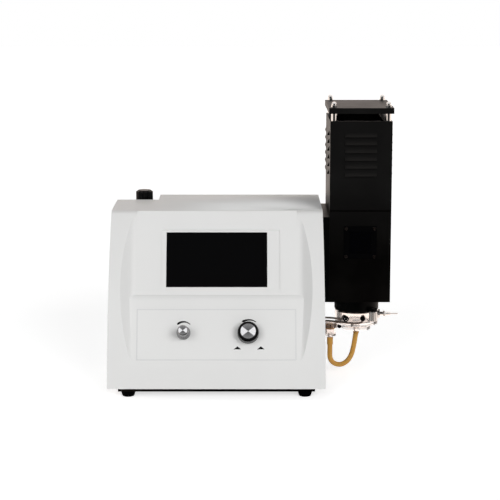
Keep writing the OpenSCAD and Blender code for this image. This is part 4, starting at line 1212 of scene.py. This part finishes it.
@dataclass
class AirRegulator(SubAssembly):
    """The air filter regulator in the notch, with its gauge and knob."""

    x: float = -122.75
    y: float = 250.0
    knob_z: float = 263.5
    knob_r: float = 14.0
    knob_h: float = 25.0
    bore_r: float = 4.05
    bore_top: float = 16.0
    flutes: int = 12
    flute_steps: int = 12
    flute_phase: float = 0.6
    flute_reach: float = 0.9
    flute_foot: float = 3.2
    flute_depth: float = 0.10
    smooth_knob: float = 40.0
    dial_y: float = 284.0
    dial_z: float = 228.5
    dial_r: float = 18.2
    dial_sides: int = 64
    dial_plate: Pair = (0.6, 0.05)
    dial_glass: Pair = (1.2, 2.4)
    ticks: int = 21
    tick_step: float = 13.5
    tick_r: float = 14.6
    long_every: int = 5
    long_tick: Triple = (0.7, 3.2, 0.06)
    short_tick: Triple = (0.35, 1.8, 0.06)
    tick_z: float = 0.68
    needle: Profile = ((-0.5, -4.0), (0.5, -4.0), (0.25, 12.5), (-0.25, 12.5))
    needle_plate: Pair = (0.3, 1.2)
    needle_hub: Triple = (1.6, 1.2, 0.7)
    needle_turn: float = 118.0
    roundings: Roundings = (
        ("regulator_body", 0.8), ("regulator_bowl", 0.5), ("regulator_bracket", 0.25),
        ("pressure_gauge", 0.4),
    )
    kept: Names = ("regulator_stem",)

    def build(self) -> None:
        """Builds the knob and the gauge's dial, and dresses the castings."""
        super().build()
        self.knob()
        self.dial()

    def knob(self) -> None:
        """Turns the fluted regulator knob."""
        r, h = self.knob_r, self.knob_h
        knob = Mould().turned(
            [
                (self.bore_r, 0.0), (r - 0.4, 0.0), (r, 0.4), (r, 3.0), (r, 3.4), (r, h - 3.2),
                (r - 0.3, h - 2.2), (r - 1.2, h - 1.7), (r - 2.2, h - 1.6), (r - 2.5, h - 1.5),
                (r - 3.2, h - 0.3), (r - 4.0, h), (0.0, h), (0.0, self.bore_top),
                (self.bore_r, self.bore_top),
            ],
            self.flutes * self.flute_steps,
        )
        knob.fluted(
            r - self.flute_reach, (self.flute_foot, h + 1.0), self.flute_depth,
            lambda angle: max(0.0, math.cos(self.flutes * angle + self.flute_phase)),
        )
        knob.placed(standing((self.x, self.y, self.knob_z), Axis.UP))
        body, name = "regulator_knob", "regulator_knob_fluted"
        knob.finished(name, "dark_plastic", body, ("regulator_knob",), self.smooth_knob)

    def dial(self) -> None:
        """Adds the gauge's white dial with plain ticks, its needle and its glass."""
        place = standing((self.x, self.dial_y, self.dial_z), Axis.REAR)
        plate = Mould().rod(self.dial_r, *self.dial_plate, sides=self.dial_sides)
        plate.placed(place).finished("gauge_dial", "label_white")
        ticks = Mould()
        for i in range(self.ticks):
            size = self.short_tick if i % self.long_every else self.long_tick
            turn = math.radians(self.tick_step * (i - self.ticks // 2))
            tick = Mould().block(size, (0.0, self.tick_r, self.tick_z))
            ticks.joined(tick.placed(Matrix.Rotation(turn, 4, "Z")))
        ticks.placed(place).finished("gauge_ticks", "dark_plastic")
        needle = Mould().outline(self.needle, *self.needle_plate).rod(*self.needle_hub)
        needle.placed(place @ Matrix.Rotation(math.radians(self.needle_turn), 4, "Z"))
        needle.finished("gauge_needle", "dark_plastic")
        glass = Mould().rod(self.dial_r, *self.dial_glass, sides=self.dial_sides)
        glass.placed(place).finished("gauge_glass", "clear_glass")


# ---- chimney ----
@dataclass
class Chimney(SubAssembly):
    """The black sheet housings with the shield on its posts."""

    x: float = 223.9
    y: float = 166.0
    post_dx: float = 42.2
    post_dy: float = 62.0
    post_turn: float = 17.0
    post_z: float = 417.5
    post_h: float = 19.6
    post_r: float = 4.5
    post_edge: float = 0.3
    stud_r: float = 2.45
    stud_ends: Pair = (-4.0, 6.0)
    post_sides: int = 40
    smooth_post: float = 30.0
    nut_z: float = 438.3
    nut_r: float = 4.6
    nut_h: float = 4.0
    nut_edge: float = 0.35
    neck_z: float = 3.6
    dome_z: float = 5.6
    dome_r: float = 3.8
    dome_step: int = 9
    dome_sides: int = 32
    roundings: Roundings = (
        ("chimney_flange", 0.4, "black_anodised"), ("lower_housing", 0.35),
        ("upper_housing", 0.35), ("heat_shield", 0.4), ("window_plate", 0.3, "display_black"),
        ("window_glass", 0.1), ("window_screws", 0.15, "steel_line"),
    )

    def build(self) -> None:
        """Rounds the sheets and turns the posts and cap nuts."""
        super().build()
        self.posts()
        self.nuts()

    def corners(self, z: float) -> list[Matrix]:
        """Gives the transforms of what stands at the four corners.

        Args:
            z: Its height.

        Returns:
            The four transforms.
        """
        places = []
        for sx, sy in ((-1, -1), (-1, 1), (1, -1), (1, 1)):
            foot = (self.x + sx * self.post_dx, self.y + sy * self.post_dy, z)
            places.append(standing(foot, Axis.UP, self.post_turn * sx * sy))
        return places

    def posts(self) -> None:
        """Turns the four plated posts with their studs."""
        r, h, edge, stud = self.post_r, self.post_h, self.post_edge, self.stud_r
        below, over = self.stud_ends
        outline = [
            (0.0, below), (stud, below), (stud, 0.0), (r - edge, 0.0), (r, edge), (r, h - edge),
            (r - edge, h), (stud, h), (stud, h + over), (0.0, h + over),
        ]
        posts = Mould().turned(outline, self.post_sides, False).placed(*self.corners(self.post_z))
        name, body, replaced = "shield_posts_turned", "upper_chimney", ("shield_posts",)
        posts.finished(name, "bright_nickel", body, replaced, self.smooth_post)

    def nuts(self) -> None:
        """Makes the four cap nuts: a hexagon, a neck and a dome."""
        nut = Mould().rod(self.nut_r, self.nut_h, sides=6).round_sharp(self.nut_edge)
        cap = [(0.0, self.neck_z), (self.dome_r, self.neck_z)]
        for angle in (math.radians(a) for a in range(90, -1, -self.dome_step)):
            height = self.dome_z + self.dome_r * math.cos(angle)
            cap.append((self.dome_r * math.sin(angle), height))
        nut.joined(Mould().turned(cap, self.dome_sides, False)).placed(*self.corners(self.nut_z))
        nut.finished("cap_nuts_domed", "bright_nickel", "upper_chimney", ("cap_nuts",))


# ---- burner ----
@dataclass
class Burner(SubAssembly):
    """The burner under the chimney: ring, mixing chamber, nebulizer, drain and lines."""

    x: float = 223.9
    gland_y: float = 129.9
    gland_z: float = 97.0
    glands: tuple[tuple[str, float, str], ...] = (
        ("gland_left", -18.8, "bright_nickel"), ("gland_right", 8.0, "brass"),
    )
    gland_outline: Profile = ((1.25, -0.4), (2.7, -0.4), (2.7, 0.2), (2.3, 0.6), (1.25, 0.6))
    cup: Triple = (181.7, 166.0, 62.0)
    seal_outline: Profile = ((6.7, 11.2), (7.45, 11.2), (7.45, 19.0), (6.7, 19.0))
    roundings: Roundings = (
        ("burner_ring", 0.5), ("burner_head", 0.3), ("glass_chimney", 0.3), ("igniter", 0.15),
        ("mixing_chamber", 0.5), ("chamber_bowl", 0.5), ("drain_arm", 0.4), ("drain_cup", 0.4),
        ("nebulizer", 0.2), ("nebulizer_nut", 0.15), ("clamp_nut", 0.2), ("thumb_screw", 0.15),
        ("capillary", 0.05), ("line_fittings", 0.2, "black_anodised"),
    )
    kept: Names = ("supply_lines",)

    def build(self) -> None:
        """Dresses the burner's pieces and adds the glands and the cup's seal."""
        super().build()
        self.fitting_centres()
        self.cup_seal()

    def fitting_centres(self) -> None:
        """Adds the metal glands in the middle of both line fittings."""
        for name, dx, slot in self.glands:
            place = standing((self.x + dx, self.gland_y, self.gland_z), Axis.FRONT)
            Mould().turned(self.gland_outline, steps=32).placed(place).finished(name, slot)

    def cup_seal(self) -> None:
        """Adds the amber sleeve inside the drain cup's mouth."""
        seal = Mould().turned(self.seal_outline).placed(standing(self.cup, Axis.UP))
        seal.finished("cup_seal", "amber_latex")


@dataclass
class DrainHose(SubAssembly):
    """The latex hose that hangs in a U between the bowl's outlet and the drain cup."""

    diameter: float = 0.0082
    length: float = 0.1243
    y: float = 166.0
    route: Profile = (
        (223.9, 71.0), (223.9, 66.5), (222.9, 61.0), (221.9, 53.5), (220.8, 46.9), (219.5, 40.2),
        (218.0, 33.6), (215.4, 27.0), (211.6, 20.8), (206.4, 16.0), (200.6, 13.4), (194.6, 13.3),
        (188.9, 15.2), (184.6, 19.0), (182.3, 24.0), (181.7, 30.0), (181.7, 36.0), (181.7, 46.0),
        (181.7, 59.0),
    )
    steps: int = 6
    sleeve_bore: float = 3.5
    bowl_grip: Triple = (65.5, 5.3, 4.7)
    cup_grip: Triple = (46.5, 12.3, 4.9)

    def build(self) -> None:
        line = bpy.data.curves.new("drain_hose", "CURVE")
        line.dimensions = "3D"
        line.bevel_depth = self.diameter / 2
        line.bevel_resolution = line.resolution_u = self.steps
        line.use_fill_caps = True
        spline = line.splines.new("BEZIER")
        spline.bezier_points.add(len(self.route) - 1)
        for point, (x, z) in zip(spline.bezier_points, self.route):
            point.co = at(x, self.y, z)
            point.handle_left_type = point.handle_right_type = "AUTO"
        coat(line, "amber_latex")
        hose = linked("drain_hose", line)
        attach(hose, "root")
        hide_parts("drain_tube")
        sleeves = [
            self.sleeve("bowl_sleeve", self.route[0][0], *self.bowl_grip),
            self.sleeve("cup_sleeve", self.route[-1][0], *self.cup_grip),
        ]
        log.info("drain_hose hangs between the bowl and the cup")

    def sleeve(
        self, name: str, x: float, z: float, height: float, radius: float
    ) -> bpy.types.Object:
        """Turns the stretched end of the hose that grips a stub.

        Args:
            name: The piece's name.
            x: Its place along the row.
            z: Height of its lower end.
            height: Its length.
            radius: Its outer radius.

        Returns:
            The piece.
        """
        ring = [
            (self.sleeve_bore, 0.0), (radius - 0.5, 0.0), (radius - 0.1, 0.6), (radius, 1.6),
            (radius, height), (self.sleeve_bore, height),
        ]
        sleeve = Mould().turned(ring, steps=32).placed(standing((x, self.y, z), Axis.UP))
        return sleeve.finished(name, "amber_latex")


# ---- studio ----
@dataclass
class Studio:
    """Floor, light and camera."""

    lens: float = 116.35
    sensor: float = 36.0
    far: float = 50.0
    pitch: float = 10.5
    eye: Triple = (51.58, -2393.35, 677.17)
    ambient: float = 0.20
    behind: Pair = (-0.2, 0.35)
    overhead: Pair = (0.3, 0.5)
    beside: Pair = (0.3, 0.6)
    beside_glow: float = 0.7
    front_glow: float = 0.05
    behind_tint: Triple = (1.0, 0.88, 0.81)
    lamps_from: tuple[tuple[float, Triple], ...] = (
        (0.97, (-0.40, -0.84, 0.37)),
        (1.52, (0.44, -0.82, 0.36)),
        (1.30, (-0.15, 0.98, 0.13)),
    )
    lamp_width: float = 30.0
    floor_size: float = 9.0
    floor_grey: float = 0.84
    floor_dark: float = 0.05
    floor_glow: float = 0.62
    floor_sheen: float = 1.3
    floor_tint: Triple = (1.0, 0.88, 0.80)
    floor_beside: Pair = (0.35, 0.7)
    floor_behind: Pair = (0.1, 0.4)
    floor_centre: float = 0.0001

    def build(self) -> None:
        """Sets up the view, the world, the lamps and the floor."""
        self.camera()
        self.world()
        self.lamps()
        self.floor()
        bpy.context.scene.view_settings.view_transform = "Standard"

    def camera(self) -> None:
        """Stands the camera at the photograph's place."""
        data = bpy.data.cameras.new("camera")
        data.lens = self.lens
        data.sensor_width = self.sensor
        data.clip_end = self.far
        camera = linked("camera", data)
        camera.location = at(*self.eye)
        camera.rotation_euler = (math.radians(90.0 - self.pitch), 0.0, 0.0)
        bpy.context.scene.camera = camera

    def world(self) -> None:
        """Makes a world that looks white, lights softly and mirrors as a studio."""
        world = bpy.data.worlds.new("studio")
        bpy.context.scene.world = world
        sheet = NodeSheet(world)
        across, along, up = sheet.axes()
        behind = along.between(*self.behind)
        beside = (across * across).between(*self.beside) * self.beside_glow
        mirrored = behind.most(up.between(*self.overhead)).most(beside) + self.front_glow
        shiny = sheet.ray("Glossy")
        strength = self.ambient + shiny * (mirrored - self.ambient)
        tint = sheet.tint(behind * shiny, WHITE, self.behind_tint)
        soft = sheet.plain("Background", tint, Strength=strength)
        bright = sheet.plain("Background", WHITE, Strength=1.0)
        mixed = sheet.blend(self.seen_white(sheet), soft, bright)
        sheet.output("World", mixed)

    @staticmethod
    def seen_white(sheet: NodeSheet) -> Wire:
        """Gives 1 for the rays that should see the white background."""
        return sheet.ray("Camera").most(sheet.ray("Transmission"))

    def lamps(self) -> None:
        """Adds the soft lamps at the front and behind, which no surface mirrors."""
        for number, (energy, source) in enumerate(self.lamps_from):
            data = bpy.data.lights.new(f"lamp_{number}", "SUN")
            data.energy = energy
            data.angle = math.radians(self.lamp_width)
            lamp = linked(f"lamp_{number}", data)
            lamp.rotation_mode = "QUATERNION"
            lamp.rotation_quaternion = Vector(source).to_track_quat("Z", "Y")
            lamp.visible_glossy = False
            lamp.visible_transmission = False

    def floor(self) -> None:
        """Lays a white floor that keeps the object's shadow."""
        grid = bmesh.new()
        bmesh.ops.create_grid(grid, x_segments=2, y_segments=2, size=self.floor_size)
        mesh = bpy.data.meshes.new("floor")
        grid.to_mesh(mesh)
        grid.free()
        mesh.materials.append(self.floor_material())
        linked("floor", mesh)

    def floor_material(self) -> bpy.types.Material:
        """Draws white paper that mirrors as a warm sheen beside and behind the object.

        Returns:
            The floor's material.
        """
        material = bpy.data.materials.new("floor_white")
        sheet = NodeSheet(material)
        paper = sheet.plain("BsdfDiffuse", shade(WHITE, self.floor_grey))
        dark = sheet.plain("BsdfDiffuse", shade(WHITE, self.floor_dark))
        warm = sheet.plain("Emission", self.floor_tint, Strength=self.floor_sheen)
        x, y, _ = sheet.axes()
        aside = (x * x / (x * x + y * y + self.floor_centre)).between(*self.floor_beside)
        aside = aside.most(y.between(*self.floor_behind))
        sheen = sheet.blend(sheet.ray("Glossy"), paper, sheet.blend(aside, dark, warm))
        glow = self.seen_white(sheet) * self.floor_glow
        both = {0: sheen, 1: sheet.plain("Emission", WHITE, Strength=glow)}
        sheet.output("Material", sheet.add("ShaderNodeAddShader", {}, both))
        return material


def main() -> None:
    """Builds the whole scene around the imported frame."""
    logging.basicConfig(level=logging.INFO, format="%(message)s")
    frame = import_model()
    Studio().build()
    for group in (
        DrainHose, CaseShell, FrontPanel, ValveControls, Interior, RearConnectors, AirRegulator,
        Chimney, Burner,
    ):
        log.info("building %s", group.__name__)
        group(frame).build()


if __name__ == "__main__":
    main()
